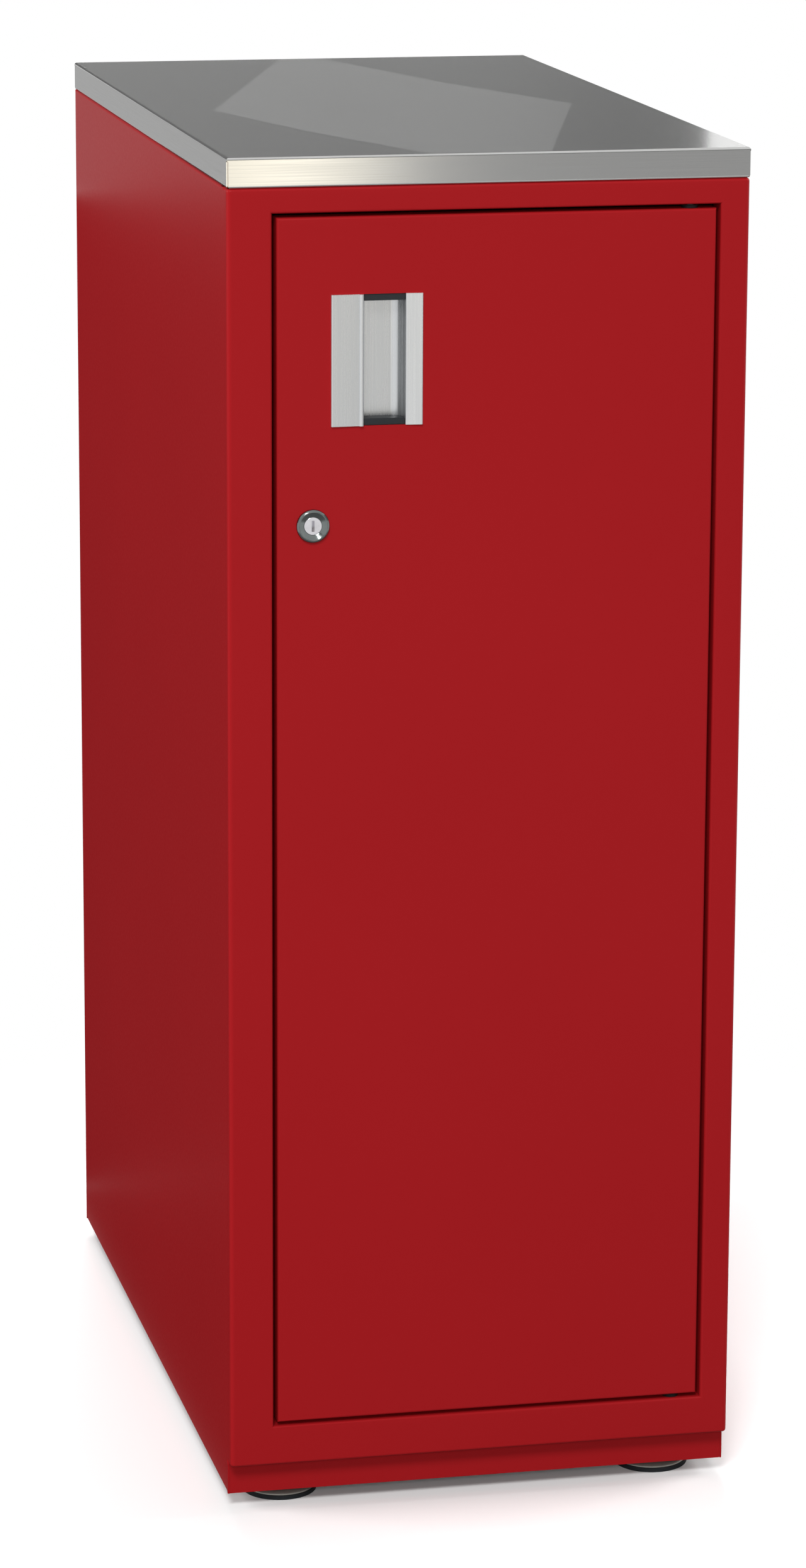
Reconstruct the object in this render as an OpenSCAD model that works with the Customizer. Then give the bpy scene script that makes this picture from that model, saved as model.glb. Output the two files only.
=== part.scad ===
// Lockable steel storage cabinet with a stainless worktop.
// The front faces -Y, +X is to the right of someone facing the door, +Z is up.
// The origin is on the floor, under the middle of the cabinet.

/* [Cabinet] */
// Width across the side panels
cabinet_w = 380; // [340:5:600]
// Depth from the front frame to the back
cabinet_d = 690; // [480:5:800]
// Height from the floor to the worktop surface
cabinet_h = 1006; // [860:2:1300]
// Thickness of the body's sheet steel
sheet_t = 1.5; // [1:0.1:2]
// Outside radius of the folded corners
corner_r = 3.5; // [2.5:0.5:6]
// Width of the flanges turned in along the panels' edges
edge_flange = 22; // [18:1:30]
// Gap left between neighbouring flanges at a corner
flange_relief = 2; // [1:0.5:4]

/* [Front frame] */
// Face width of the stile on the lock side
lock_stile_w = 32.5; // [28:0.5:60]
// Face width of the stile on the hinge side
hinge_stile_w = 21.5; // [20:0.5:60]
// Face height of the rail above the door
top_rail_h = 18; // [14:1:40]
// Face height of the rail below the door
bottom_rail_h = 30; // [24:1:50]
// Depth of the folded frame channels
frame_depth = 22; // [20:1:30]
// Width of the channel behind each stile
stile_lip = 13; // [8:1:18]
// Height of the lip folded inside each rail
rail_lip = 7; // [4:1:9]

/* [Base] */
// Clear height between the floor and the base
foot_gap = 12; // [11:1:24]
// Height of the kick plate
kick_h = 25; // [18:1:60]
// Setback of the kick plate behind the front frame
kick_setback = 13; // [8:1:18]
// Depth of the flanges under the floor panel
floor_flange = 18; // [10:1:20]

/* [Door] */
// Thickness of the door's sheet steel
door_t = 1.2; // [0.8:0.1:1.6]
// Gap all round the closed door
door_gap = 3; // [2:0.5:5]
// Width of the lip behind the door's edges
door_lip = 13; // [9:1:20]
// Outside radius of the door's folded edges
door_edge_r = 2; // [2:0.5:3]
// Width of the stiffener's crown
stiffener_w = 44; // [20:2:60]
// Depth of the stiffener
stiffener_depth = 14; // [8:1:16]
// Width of the stiffener's spot-welded feet
stiffener_foot = 14; // [8:1:20]
// Thickness of the rubber bumpers behind the door
bumper_t = 1.7; // [1.2:0.1:3]

/* [Door pivots] */
// Diameter of the pivot pins
pin_d = 6; // [5:0.5:7]
// Distance of the pivot from the door's edge
pivot_inset = 18; // [16:1:24]
// Distance of the pivot behind the door's face
pivot_depth = 8.5; // [7.5:0.5:9.5]
// How far each pin reaches past the door's edge
pin_reach = 12; // [8:1:20]
// Thickness of the pivot brackets
bracket_t = 3; // [2:0.5:4]
// Length of the pivot brackets
bracket_l = 30; // [20:1:32]
// Wall of the nylon bushes
bush_wall = 1.5; // [1:0.25:2]

/* [Lock] */
// Diameter of the lock's bezel
bezel_d = 24; // [22:0.5:30]
// How far the bezel stands out of the door
lock_proud = 3; // [2:0.5:5]
// Diameter of the lock's barrel
barrel_d = 19; // [17:0.5:20]
// Diameter of the turning plug
plug_d = 13; // [10:0.5:14]
// Room between the lock's barrel and the lip of the door
barrel_clear = 3.5; // [1:0.5:10]
// Distance of the lock's axis below the door's top edge
lock_drop = 220; // [190:1:280]
// How far the cam reaches behind the stile when locked
cam_bite = 12; // [6:1:14]
// Width of the cam
cam_w = 16; // [14:1:20]
// Thickness of the cam
cam_t = 3; // [2:0.5:4]

/* [Handle] */
// Height of the pull
handle_h = 94; // [70:1:130]
// Distance of the pull from the door's lock edge
handle_inset = 39; // [36:1:60]
// Distance of the pull below the door's top edge
handle_drop = 55; // [30:1:70]
// Width of the grip plate
grip_w = 24; // [18:1:30]
// Clear width of the finger pocket beside the grip
pocket_w = 30; // [24:1:40]
// Width of the flange on the pocket's far side
far_flange_w = 12.5; // [8:0.5:20]
// How far the pull stands out of the door
handle_proud = 2; // [1.5:0.25:3]
// Clear depth of the finger pocket behind the door's face
pocket_depth = 13; // [10:0.5:13]
// Wall thickness of the extruded pull
extrusion_t = 1.8; // [1.5:0.1:2.5]
// How far the pocket reaches behind the grip
grip_undercut = 12; // [8:1:15]
// Radius where the pocket's floor curves up
pocket_r = 8; // [4:0.5:10]
// Thickness of the end caps in the pocket
cap_t = 5; // [3:0.5:8]

/* [Worktop] */
// Height of the worktop's aprons
worktop_h = 22; // [20:1:40]
// Thickness of the stainless sheet
steel_t = 1.2; // [0.8:0.1:2]
// Width of the hem turned under the worktop
hem_w = 12; // [8:1:14]
// Diameter of the worktop screws
screw_d = 5; // [4:0.5:6]
// Length of the screws above the side panels' flanges
screw_l = 16; // [10:1:17]

/* [Shelves] */
// Height of the lower shelf's clips above the floor panel
lower_shelf_height = 300; // [150:10:400]
// Height of the upper shelf's clips above the floor panel
upper_shelf_height = 600; // [480:10:640]
// Thickness of the shelves' sheet steel
shelf_t = 1.2; // [0.8:0.1:1.6]
// Height of the shelves' folded edges
shelf_edge = 24; // [15:1:40]
// Space between the front frame and the shelves
shelf_setback = 26; // [22:1:80]
// Space between the shelves and the back panel
shelf_back_gap = 6; // [3:1:30]
// Pitch of the slots in the shelf standards
slot_pitch = 38; // [30:1:60]
// Depth of the shelf standards
standard_depth = 8; // [6:0.5:12]
// Width of the shelf standards
standard_w = 20; // [16:1:26]
// Distance of the standards from the front and back of the shelves
standard_inset = 60; // [30:5:120]

/* [Feet] */
// Diameter of the foot pads
foot_d = 56; // [40:1:60]
// Height of the foot cups above the floor
foot_h = 9; // [8:0.5:9]
// Diameter of the threaded studs
stud_d = 10; // [8:1:12]
// How far each foot screws down
foot_travel = 15; // [5:1:20]
// Distance of the feet from the cabinet's sides
foot_inset_x = 46; // [40:1:70]
// Distance of the feet from the front and the back
foot_inset_y = 50; // [44:1:90]
// Thickness of the corner gussets
gusset_t = 3; // [2:0.5:5]

/* [Wall fixing] */
// Diameter of the wall fixing holes
anchor_d = 9; // [6:0.5:12]
// Distance between the wall fixing holes
anchor_spacing = 240; // [100:10:280]
// Distance of the wall fixing holes below the worktop
anchor_drop = 70; // [40:5:150]

/* [Clearances] */
// Radial clearance of a turning fit
running_gap = 0.06; // [0.03:0.01:0.1]
// Clearance between parts that pass each other
pass_gap = 0.6; // [0.4:0.1:1]
// Clearance of a rivet, screw or insert in its hole
hole_gap = 0.1; // [0.05:0.05:0.3]
// Room left between the closed door and its bumpers
bumper_gap = 0.3; // [0.2:0.1:0.5]

/* [Hidden] */
$fn = 64;

// Overshoot of a cut past the face that it opens
cut = 1;

// Planes of the body
x_left = -cabinet_w / 2;
x_right = cabinet_w / 2;
inner_l = x_left + sheet_t;
inner_r = x_right - sheet_t;
y_front = -cabinet_d / 2 + lock_proud / 2;
y_back = y_front + cabinet_d;
y_kick = y_front + kick_setback;
y_frame = y_front + frame_depth;
y_panel = y_back - 2 * sheet_t;
z_base = foot_gap;
z_frame = z_base + kick_h;
z_body = cabinet_h - worktop_h;

// Door opening and door
open_l = x_left + lock_stile_w;
open_r = x_right - hinge_stile_w;
open_b = z_frame + bottom_rail_h;
open_t = z_body - top_rail_h;
door_l = open_l + door_gap;
door_r = open_r - door_gap;
door_b = open_b + door_gap;
door_top = open_t - door_gap;
y_skin = y_front + door_t;
y_door = y_frame - bumper_t - bumper_gap;

// Pivots
pivot_x = door_r - pivot_inset;
pivot_y = y_front + pivot_depth;
bush_d = pin_d + 2 * (running_gap + bush_wall);
bush_collar_d = bush_d + 2 * bush_wall;
bush_l = 6;
pin_head_d = pin_d + 4;
pin_head_t = 2.5;

// Lock
lock_x = door_l + door_lip + barrel_clear + barrel_d / 2;
lock_z = door_top - lock_drop;
y_cam = y_frame + pass_gap;
cam_l = lock_x - open_l + cam_bite;
barrel_end = y_cam - pass_gap / 2;
bore_d = plug_d + 2 * running_gap;
plug_face = y_front - lock_proud / 2;
bezel_rim = 1;
dish_inset = 2;
tang_step = 0.75;
tang_w = (plug_d - 2 * tang_step) / sqrt(2);
lock_nut_t = 4;
lock_nut_d = 1.42 * barrel_d;
keyway_w = 2;
keyway_h = 8;
keyway_depth = 9;
cam_screw_d = 4;
cam_screw_head_d = cam_w - 5;
cam_screw_head_t = 2.5;
cam_screw_l = 9;

// Handle, measured from the door's lock edge and top edge
handle_x = door_l + handle_inset;
handle_w = grip_w + pocket_w + far_flange_w;
handle_z = door_top - handle_drop - handle_h;
pocket_l = grip_w - grip_undercut;
pocket_end = grip_w + pocket_w;
pocket_back = pocket_depth + extrusion_t;
grip_lip_d = 2 * handle_proud;
cap_front = 1;
clamp_t = 2;
clamp_h = 18;
clamp_foot = 12;
clamp_inset = 12;
clamp_l = handle_x + pocket_l - extrusion_t;
clamp_r = handle_x + pocket_end + extrusion_t;
clamp_x = (clamp_l + clamp_r) / 2;
clamp_zs = [handle_z + clamp_inset, handle_z + handle_h - clamp_inset - clamp_h];
y_clamp = y_front + pocket_back;
handle_screw_d = 4;
handle_screw_head_d = 8;
handle_screw_head_t = 2;

// Stiffener, midway between the handle's clamps and the hinge edge
stiffener_x = (clamp_r + clamp_foot + door_r) / 2;

// Worktop screws along each side
screw_head_d = 2 * screw_d;
screw_head_t = 3;
screw_margin = 1.5;
screw_x = hem_w + screw_head_d / 2 + screw_margin;
top_flange = screw_x + screw_head_d / 2 + screw_margin;
screw_ends = 90;
screws_per_side = 3;
screw_ys = [for (i = [0 : screws_per_side - 1])
    y_front + screw_ends + i * (cabinet_d - 2 * screw_ends) / (screws_per_side - 1)];

// Rivets that hold the back panel
rivet_d = 4;
rivet_head_d = 8;
rivet_head_t = 1.2;
rivet_ends = 50;
rivets_per_side = 6;
rivet_x = edge_flange - rivet_head_d;
rivet_zs = [for (i = [0 : rivets_per_side - 1])
    open_b + rivet_ends + i * (open_t - open_b - 2 * rivet_ends) / (rivets_per_side - 1)];

// Shelves and their standards
shelf_l = inner_l + standard_depth + pass_gap;
shelf_r = inner_r - standard_depth - pass_gap;
shelf_y0 = y_frame + shelf_setback;
shelf_y1 = y_panel - shelf_back_gap;
standard_ys = [shelf_y0 + standard_inset, shelf_y1 - standard_inset];
standard_t = 1.2;
slot_h = 14;
slot_w = 5;
slot_count = floor((open_t - open_b - slot_h) / slot_pitch);
slot_zs = [for (i = [1 : slot_count]) open_b + i * slot_pitch];
lower_slot_z = open_b + round(lower_shelf_height / slot_pitch) * slot_pitch;
upper_slot_z = open_b + round(upper_shelf_height / slot_pitch) * slot_pitch;
clip_t = 2;
clip_h = 10;
clip_tail = 4;
clip_reach = 9;

// Door stops on the lock stile
stop_t = 2;
stop_h = 30;
stop_ends = 90;
stop_reach = door_gap + door_lip - 2;
stop_x = open_l + (door_gap + stop_reach) / 2;
stop_zs = [open_b + stop_ends, (open_b + lock_z) / 2, open_t - stop_ends];
bumper_d = 6;
magnet_h = 26;

// Feet
foot_places = [
    ["front_left", x_left + foot_inset_x, y_front + foot_inset_y],
    ["front_right", x_right - foot_inset_x, y_front + foot_inset_y],
    ["rear_left", x_left + foot_inset_x, y_back - foot_inset_y],
    ["rear_right", x_right - foot_inset_x, y_back - foot_inset_y],
];
z_gusset = z_base + sheet_t;
z_nut = z_gusset + gusset_t;
glide_h = 3.5;
glide_rim = 1.2;
cup_seat_z = 2.5;
cup_neck_d = stud_d + 8;
socket_z = foot_h - 4;
dome_steps = 10;
stud_hex_d = 1.6 * stud_d;
stud_spare = 10;
weld_nut_h = 8;
weld_nut_d = 1.9 * stud_d;
gusset_margin = 24;
driver_slot_w = 1.6;
driver_slot_depth = 2.5;

// Box between two corners
module block(low, high) {
    translate(low) cube(high - low);
}

// Rectangle between two corners
module patch(low, high) {
    translate(low) square(high - low);
}

// Children turned to stand along +Y from a point
module along_y(x, y, z) {
    translate([x, y, z]) rotate([-90, 0, 0]) children();
}

// How far a straight run stops short of its end point for the fold there
function fold_setback(path, i, t) =
    i == 0 || i == len(path) - 1 ? 0 : path[i][2] > 0 ? path[i][2] - t / 2 : -t / 2;

// Unit direction of the run that starts at point i
function run_way(path, i) =
    let (step = [path[i + 1][0] - path[i][0], path[i + 1][1] - path[i][1]]) step / norm(step);

// Section of a sheet of thickness t folded square along a centre line.
// Each point is [x, y, outside radius of the fold], and radius 0 is a sharp fold.
module folded_section(path, t) {
    for (i = [0 : len(path) - 2]) {
        way = run_way(path, i);
        side = [abs(way[1]), abs(way[0])] * t / 2;
        a = [path[i][0], path[i][1]] + way * fold_setback(path, i, t);
        b = [path[i + 1][0], path[i + 1][1]] - way * fold_setback(path, i + 1, t);
        low = [min(a[0], b[0]), min(a[1], b[1])];
        high = [max(a[0], b[0]), max(a[1], b[1])];
        patch(low - side, high + side);
    }
    for (i = [1 : len(path) - 2]) {
        if (path[i][2] > 0) fold(path, i, t);
    }
}

// Quarter ring of the rounded fold at point i of a path
module fold(path, i, t) {
    r = path[i][2];
    corner = run_way(path, i - 1) - run_way(path, i);
    centre = [path[i][0], path[i][1]] - corner * (r - t / 2);
    reach = centre + corner * r;
    intersection() {
        translate(centre) difference() {
            circle(r);
            circle(r - t);
        }
        patch([min(centre[0], reach[0]), min(centre[1], reach[1])],
              [max(centre[0], reach[0]), max(centre[1], reach[1])]);
    }
}

// Folded section in Y and Z, drawn out along X
module rail_bar(path, t, x0, x1) {
    translate([x0, 0, 0]) rotate([90, 0, 90]) linear_extrude(x1 - x0) folded_section(path, t);
}

// Tray with its edges folded down, open underneath
module folded_tray(low, high, t) {
    difference() {
        block(low, high);
        block([low[0] + t, low[1] + t, low[2] - cut], [high[0] - t, high[1] - t, high[2] - t]);
    }
}

// Centre line of a side panel, from its back flange round to the edge of its stile's face
function side_path(stile_w) = let (h = sheet_t / 2) [
    [edge_flange, y_back - h, 0],
    [h, y_back - h, corner_r],
    [h, y_front + h, corner_r],
    [stile_w, y_front + h, 0],
];

// Side panel standing on x = 0, with its inside towards +X
module side_panel(stile_w) {
    flange_y = y_panel - flange_relief;
    difference() {
        union() {
            difference() {
                translate([0, 0, z_base])
                    linear_extrude(z_body - z_base) folded_section(side_path(stile_w), sheet_t);
                // Toe space: the panel stops at the kick plate, and the stile stops above it
                block([-cut, y_front - cut, z_base - cut], [stile_w + cut, y_kick, z_frame]);
            }
            block([sheet_t / 2, y_frame + flange_relief, z_body - sheet_t], [top_flange, flange_y, z_body]);
            block([sheet_t / 2, y_kick + sheet_t + flange_relief, z_base], [edge_flange, flange_y, z_gusset]);
        }
        for (y = screw_ys)
            translate([screw_x, y, z_body - sheet_t - cut])
                cylinder(d = screw_d + 2 * hole_gap, h = sheet_t + 2 * cut);
        for (z = rivet_zs)
            along_y(rivet_x, y_back - sheet_t - cut, z)
                cylinder(d = rivet_d + 2 * hole_gap, h = sheet_t + 2 * cut);
    }
}

module left_side_panel() {
    color("firebrick") translate([x_left, 0, 0]) side_panel(lock_stile_w);
}

module right_side_panel() {
    color("firebrick") translate([x_right, 0, 0]) mirror([1, 0, 0]) side_panel(hinge_stile_w);
}

// Channel welded behind a stile's face, from x = 0 at the cabinet's side
module stile_channel(stile_w) {
    h = sheet_t / 2;
    y_foot = y_front + sheet_t + h;
    path = [
        [stile_w - stile_lip, y_foot, 0], [stile_w - h, y_foot, 0],
        [stile_w - h, y_frame - h, 0], [stile_w - stile_lip, y_frame - h, 0],
    ];
    color("firebrick") translate([0, 0, z_frame])
        linear_extrude(z_body - z_frame) folded_section(path, sheet_t);
}

module lock_stile_channel() {
    translate([x_left, 0, 0]) stile_channel(lock_stile_w);
}

module hinge_stile_channel() {
    translate([x_right, 0, 0]) mirror([1, 0, 0]) stile_channel(hinge_stile_w);
}

module back_panel() {
    side_room = max(edge_flange, top_flange) + flange_relief;
    color("firebrick") difference() {
        union() {
            // The sheet stops short of the inside of the side panels' rounded folds
            block([x_left + corner_r, y_panel, z_base], [x_right - corner_r, y_panel + sheet_t, z_body]);
            for (z = [z_base, z_body - sheet_t])
                block([x_left + side_room, y_panel - edge_flange, z],
                      [x_right - side_room, y_panel + sheet_t / 2, z + sheet_t]);
        }
        for (side = [-1, 1]) {
            along_y(side * anchor_spacing / 2, y_panel - cut, z_body - anchor_drop)
                cylinder(d = anchor_d, h = sheet_t + 2 * cut);
            for (z = rivet_zs)
                along_y(side * (x_right - rivet_x), y_panel - cut, z)
                    cylinder(d = rivet_d + 2 * hole_gap, h = sheet_t + 2 * cut);
        }
    }
}

module back_rivets() {
    shank_l = 2 * sheet_t + rivet_head_t / 2;
    color("silver") for (side = [-1, 1]) for (z = rivet_zs) {
        along_y(side * (x_right - rivet_x), y_panel - rivet_head_t, z)
            cylinder(d = rivet_head_d, h = rivet_head_t);
        along_y(side * (x_right - rivet_x), y_panel - rivet_head_t / 2, z) cylinder(d = rivet_d, h = shank_l);
    }
}

// Rail of the front frame, with a hole for a pivot pin through its edge at z
module frame_rail(path, z) {
    color("firebrick") difference() {
        rail_bar(path, sheet_t, open_l, open_r);
        translate([pivot_x, pivot_y, z - cut]) cylinder(d = pin_d, h = sheet_t + 2 * cut);
    }
}

module top_rail() {
    h = sheet_t / 2;
    frame_rail([
        [y_frame, z_body - h, 0], [y_front + h, z_body - h, 0], [y_front + h, open_t + h, 0],
        [y_frame - h, open_t + h, 0], [y_frame - h, open_t + rail_lip, 0],
    ], open_t);
}

module bottom_rail() {
    h = sheet_t / 2;
    frame_rail([
        [y_kick + 2 * sheet_t, z_frame + h, 0], [y_front + h, z_frame + h, 0], [y_front + h, open_b - h, 0],
        [y_frame - h, open_b - h, 0], [y_frame - h, open_b - rail_lip, 0],
    ], open_b - sheet_t);
}

module kick_plate() {
    color("firebrick") {
        block([inner_l, y_kick, z_base], [inner_r, y_kick + sheet_t, z_frame]);
        block([x_left + edge_flange + flange_relief, y_kick + sheet_t / 2, z_base],
              [x_right - edge_flange - flange_relief, y_kick + edge_flange, z_gusset]);
    }
}

module floor_panel() {
    color("firebrick")
        folded_tray([inner_l, y_frame, open_b - floor_flange], [inner_r, y_panel, open_b], sheet_t);
}

// Plate in the corner over one foot, resting on the flanges round the base
module gusset(x, y) {
    x_edge = x < 0 ? inner_l : inner_r;
    y_edge = y < 0 ? y_kick + sheet_t : y_panel;
    x_far = x - sign(x) * gusset_margin;
    y_far = y - sign(y) * gusset_margin;
    difference() {
        block([min(x_edge, x_far), min(y_edge, y_far), z_gusset],
              [max(x_edge, x_far), max(y_edge, y_far), z_nut]);
        translate([x, y, z_gusset - cut]) cylinder(d = stud_d + 2 * pass_gap, h = gusset_t + 2 * cut);
    }
}

module corner_gussets() {
    color("firebrick") for (place = foot_places) gusset(place[1], place[2]);
}

module foot_weld_nuts() {
    color("gray") for (place = foot_places) translate([place[1], place[2], z_nut]) difference() {
        cylinder(d = weld_nut_d, h = weld_nut_h, $fn = 6);
        translate([0, 0, -cut]) cylinder(d = stud_d + 2 * running_gap, h = weld_nut_h + 2 * cut);
    }
}

// Slotted channel on the inside of a side panel, standing on x = 0 and open towards -X
module shelf_standard(y) {
    h = standard_t / 2;
    path = [
        [0, y - standard_w / 2 + h, 0], [standard_depth - h, y - standard_w / 2 + h, 0],
        [standard_depth - h, y + standard_w / 2 - h, 0], [0, y + standard_w / 2 - h, 0],
    ];
    difference() {
        translate([0, 0, open_b]) linear_extrude(open_t - open_b) folded_section(path, standard_t);
        for (z = slot_zs)
            block([standard_depth - standard_t - cut, y - slot_w / 2, z],
                  [standard_depth + cut, y + slot_w / 2, z + slot_h]);
    }
}

module shelf_standards() {
    color("firebrick") for (y = standard_ys) {
        translate([inner_l, 0, 0]) shelf_standard(y);
        translate([inner_r, 0, 0]) mirror([1, 0, 0]) shelf_standard(y);
    }
}

// Clip hooked over the lower edge of the slot at z, with a tongue that carries the shelf
module shelf_clip(y, z) {
    hook_w = slot_w - 2 * hole_gap;
    face = standard_depth;
    behind = face - standard_t;
    block([behind - clip_t, y - hook_w / 2, z], [face + clip_t, y + hook_w / 2, z + clip_h - clip_t]);
    block([behind - clip_t, y - hook_w / 2, z - clip_tail], [behind, y + hook_w / 2, z + clip_t]);
    block([face, y - hook_w, z - clip_tail], [face + clip_t, y + hook_w, z + clip_h]);
    block([face, y - hook_w, z + clip_h - clip_t], [face + clip_reach, y + hook_w, z + clip_h]);
}

module shelf_clips() {
    color("silver") for (z = [lower_slot_z, upper_slot_z]) for (y = standard_ys) {
        translate([inner_l, 0, 0]) shelf_clip(y, z);
        translate([inner_r, 0, 0]) mirror([1, 0, 0]) shelf_clip(y, z);
    }
}

// Shelf resting on the clips in the slots at slot_z
module shelf(slot_z) {
    z = slot_z + clip_h;
    color("firebrick") folded_tray([shelf_l, shelf_y0, z], [shelf_r, shelf_y1, z + shelf_edge], shelf_t);
}

module lower_shelf() {
    shelf(lower_slot_z);
}

module upper_shelf() {
    shelf(upper_slot_z);
}

module worktop_skin() {
    color("lightgray") difference() {
        block([x_left, y_front, z_body], [x_right, y_back, cabinet_h]);
        block([x_left + steel_t, y_front + steel_t, z_body + steel_t],
              [x_right - steel_t, y_back - steel_t, cabinet_h - steel_t]);
        block([x_left + hem_w, y_front + hem_w, z_body - cut],
              [x_right - hem_w, y_back - hem_w, z_body + steel_t + cut]);
    }
}

module worktop_core() {
    color("burlywood") difference() {
        block([x_left + steel_t, y_front + steel_t, z_body + steel_t],
              [x_right - steel_t, y_back - steel_t, cabinet_h - steel_t]);
        for (side = [-1, 1]) for (y = screw_ys)
            translate([side * (x_right - screw_x), y, z_body]) cylinder(d = screw_d, h = screw_l);
    }
}

module worktop_screws() {
    shank_l = screw_l + sheet_t + screw_head_t / 2;
    color("silver") for (side = [-1, 1]) for (y = screw_ys)
        translate([side * (x_right - screw_x), y, z_body - sheet_t]) {
            translate([0, 0, -screw_head_t]) cylinder(d = screw_head_d, h = screw_head_t);
            translate([0, 0, -screw_head_t / 2]) cylinder(d = screw_d, h = shank_l);
        }
}

// Plate that stiffens a rail behind a pivot pin
module pivot_bracket(z) {
    color("gray") difference() {
        block([pivot_x - bracket_l / 2, y_front + sheet_t, z],
              [pivot_x + bracket_l / 2, y_frame - sheet_t, z + bracket_t]);
        translate([pivot_x, pivot_y, z - cut]) cylinder(d = pin_d, h = bracket_t + 2 * cut);
    }
}

module top_pivot_bracket() {
    pivot_bracket(open_t + sheet_t);
}

module bottom_pivot_bracket() {
    pivot_bracket(open_b - sheet_t - bracket_t);
}

// Headed pin, from its head at z = 0 upwards
module pivot_pin() {
    shank_l = pin_head_t / 2 + bracket_t + sheet_t + door_gap + pin_reach;
    color("silver") {
        cylinder(d = pin_head_d, h = pin_head_t);
        translate([0, 0, pin_head_t / 2]) cylinder(d = pin_d, h = shank_l);
    }
}

module top_pivot_pin() {
    translate([pivot_x, pivot_y, open_t + sheet_t + bracket_t + pin_head_t]) mirror([0, 0, 1]) pivot_pin();
}

module bottom_pivot_pin() {
    translate([pivot_x, pivot_y, open_b - sheet_t - bracket_t - pin_head_t]) pivot_pin();
}

// Collared bush in the door's edge, with its collar in the gap below z = 0
module pivot_bush(collar_t) {
    color("dimgray") difference() {
        union() {
            translate([0, 0, -collar_t]) cylinder(d = bush_collar_d, h = collar_t);
            translate([0, 0, -collar_t / 2]) cylinder(d = bush_d, h = bush_l + collar_t / 2);
        }
        translate([0, 0, -collar_t - cut])
            cylinder(d = pin_d + 2 * running_gap, h = bush_l + collar_t + 2 * cut);
    }
}

module top_pivot_bush() {
    translate([pivot_x, pivot_y, door_top]) mirror([0, 0, 1]) pivot_bush(door_gap - pass_gap);
}

module bottom_pivot_bush() {
    translate([pivot_x, pivot_y, door_b]) pivot_bush(door_gap - running_gap);
}

module door_stop_tabs() {
    color("firebrick") for (z = stop_zs)
        block([open_l - stile_lip, y_frame, z - stop_h / 2],
              [open_l + stop_reach, y_frame + stop_t, z + stop_h / 2]);
}

module door_bumpers() {
    color("black") for (z = [stop_zs[0], stop_zs[2]])
        along_y(stop_x, y_frame - bumper_t, z) cylinder(d = bumper_d, h = bumper_t);
}

module latch_magnet() {
    color("dimgray") block([stop_x - bumper_d / 2, y_frame - bumper_t, stop_zs[1] - magnet_h / 2],
                           [stop_x + bumper_d / 2, y_frame, stop_zs[1] + magnet_h / 2]);
}

module door_skin() {
    h = door_t / 2;
    path = [
        [door_l + door_lip, y_door - h, 0], [door_l + h, y_door - h, 0],
        [door_l + h, y_front + h, door_edge_r], [door_r - h, y_front + h, door_edge_r],
        [door_r - h, y_door - h, 0], [door_r - door_lip, y_door - h, 0],
    ];
    color("firebrick") difference() {
        union() {
            translate([0, 0, door_b]) linear_extrude(door_top - door_b) folded_section(path, door_t);
            for (z = [door_b, door_top - door_t])
                block([door_l + door_t, y_front + door_t / 2, z], [door_r - door_t, y_door, z + door_t]);
            for (z = [door_b, door_top - door_lip])
                block([door_l + door_t, y_door - door_t, z], [door_r - door_t, y_door, z + door_lip]);
        }
        along_y(lock_x, y_front - cut, lock_z) cylinder(d = barrel_d + 2 * hole_gap, h = door_t + 2 * cut);
        block([clamp_l - hole_gap, y_front - cut, handle_z - hole_gap],
              [clamp_r + hole_gap, y_skin + cut, handle_z + handle_h + hole_gap]);
        for (z = [door_b - cut, door_top - door_t - cut])
            translate([pivot_x, pivot_y, z]) cylinder(d = bush_d, h = door_t + 2 * cut);
    }
}

module door_stiffener() {
    h = door_t / 2;
    crown = stiffener_w / 2;
    y_crown = y_front + stiffener_depth - h;
    path = [
        [stiffener_x - crown - stiffener_foot, y_skin + h, 0], [stiffener_x - crown + h, y_skin + h, 0],
        [stiffener_x - crown + h, y_crown, 0], [stiffener_x + crown - h, y_crown, 0],
        [stiffener_x + crown - h, y_skin + h, 0], [stiffener_x + crown + stiffener_foot, y_skin + h, 0],
    ];
    color("firebrick") translate([0, 0, door_b + door_t])
        linear_extrude(door_top - door_b - 2 * door_t) folded_section(path, door_t);
}

// Outside of the pocket's rounded corner, grown inwards by a gap
module pocket_corner(gap) {
    centre = [pocket_end - pocket_r, pocket_depth - pocket_r];
    difference() {
        patch(centre, [pocket_end + cut, pocket_depth + cut]);
        translate(centre) circle(pocket_r - gap);
    }
}

// Section of the pull: x from its lock edge, y into the door from the door's face
module pull_section() {
    difference() {
        union() {
            patch([0, -handle_proud], [handle_w, 0]);
            patch([pocket_l - extrusion_t, -handle_proud / 2], [pocket_end + extrusion_t, pocket_back]);
        }
        difference() {
            patch([pocket_l, 0], [pocket_end, pocket_depth]);
            pocket_corner(0);
        }
        patch([grip_w, -handle_proud - cut], [pocket_end, cut]);
    }
    translate([grip_w - grip_lip_d / 2, 0]) circle(d = grip_lip_d);
}

module handle_pull() {
    color("silver") translate([handle_x, y_front, handle_z]) linear_extrude(handle_h) pull_section();
}

// Section of a cap that fills the pocket, clear of the grip's lip
module cap_section() {
    difference() {
        patch([grip_w + hole_gap, cap_front], [pocket_end - hole_gap, pocket_depth - hole_gap]);
        pocket_corner(hole_gap);
    }
    patch([pocket_l + hole_gap, grip_lip_d / 2 + hole_gap], [grip_w + 2 * hole_gap, pocket_depth - hole_gap]);
}

module handle_end_caps() {
    color("black") for (z = [handle_z, handle_z + handle_h - cap_t])
        translate([handle_x, y_front, z]) linear_extrude(cap_t) cap_section();
}

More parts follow.
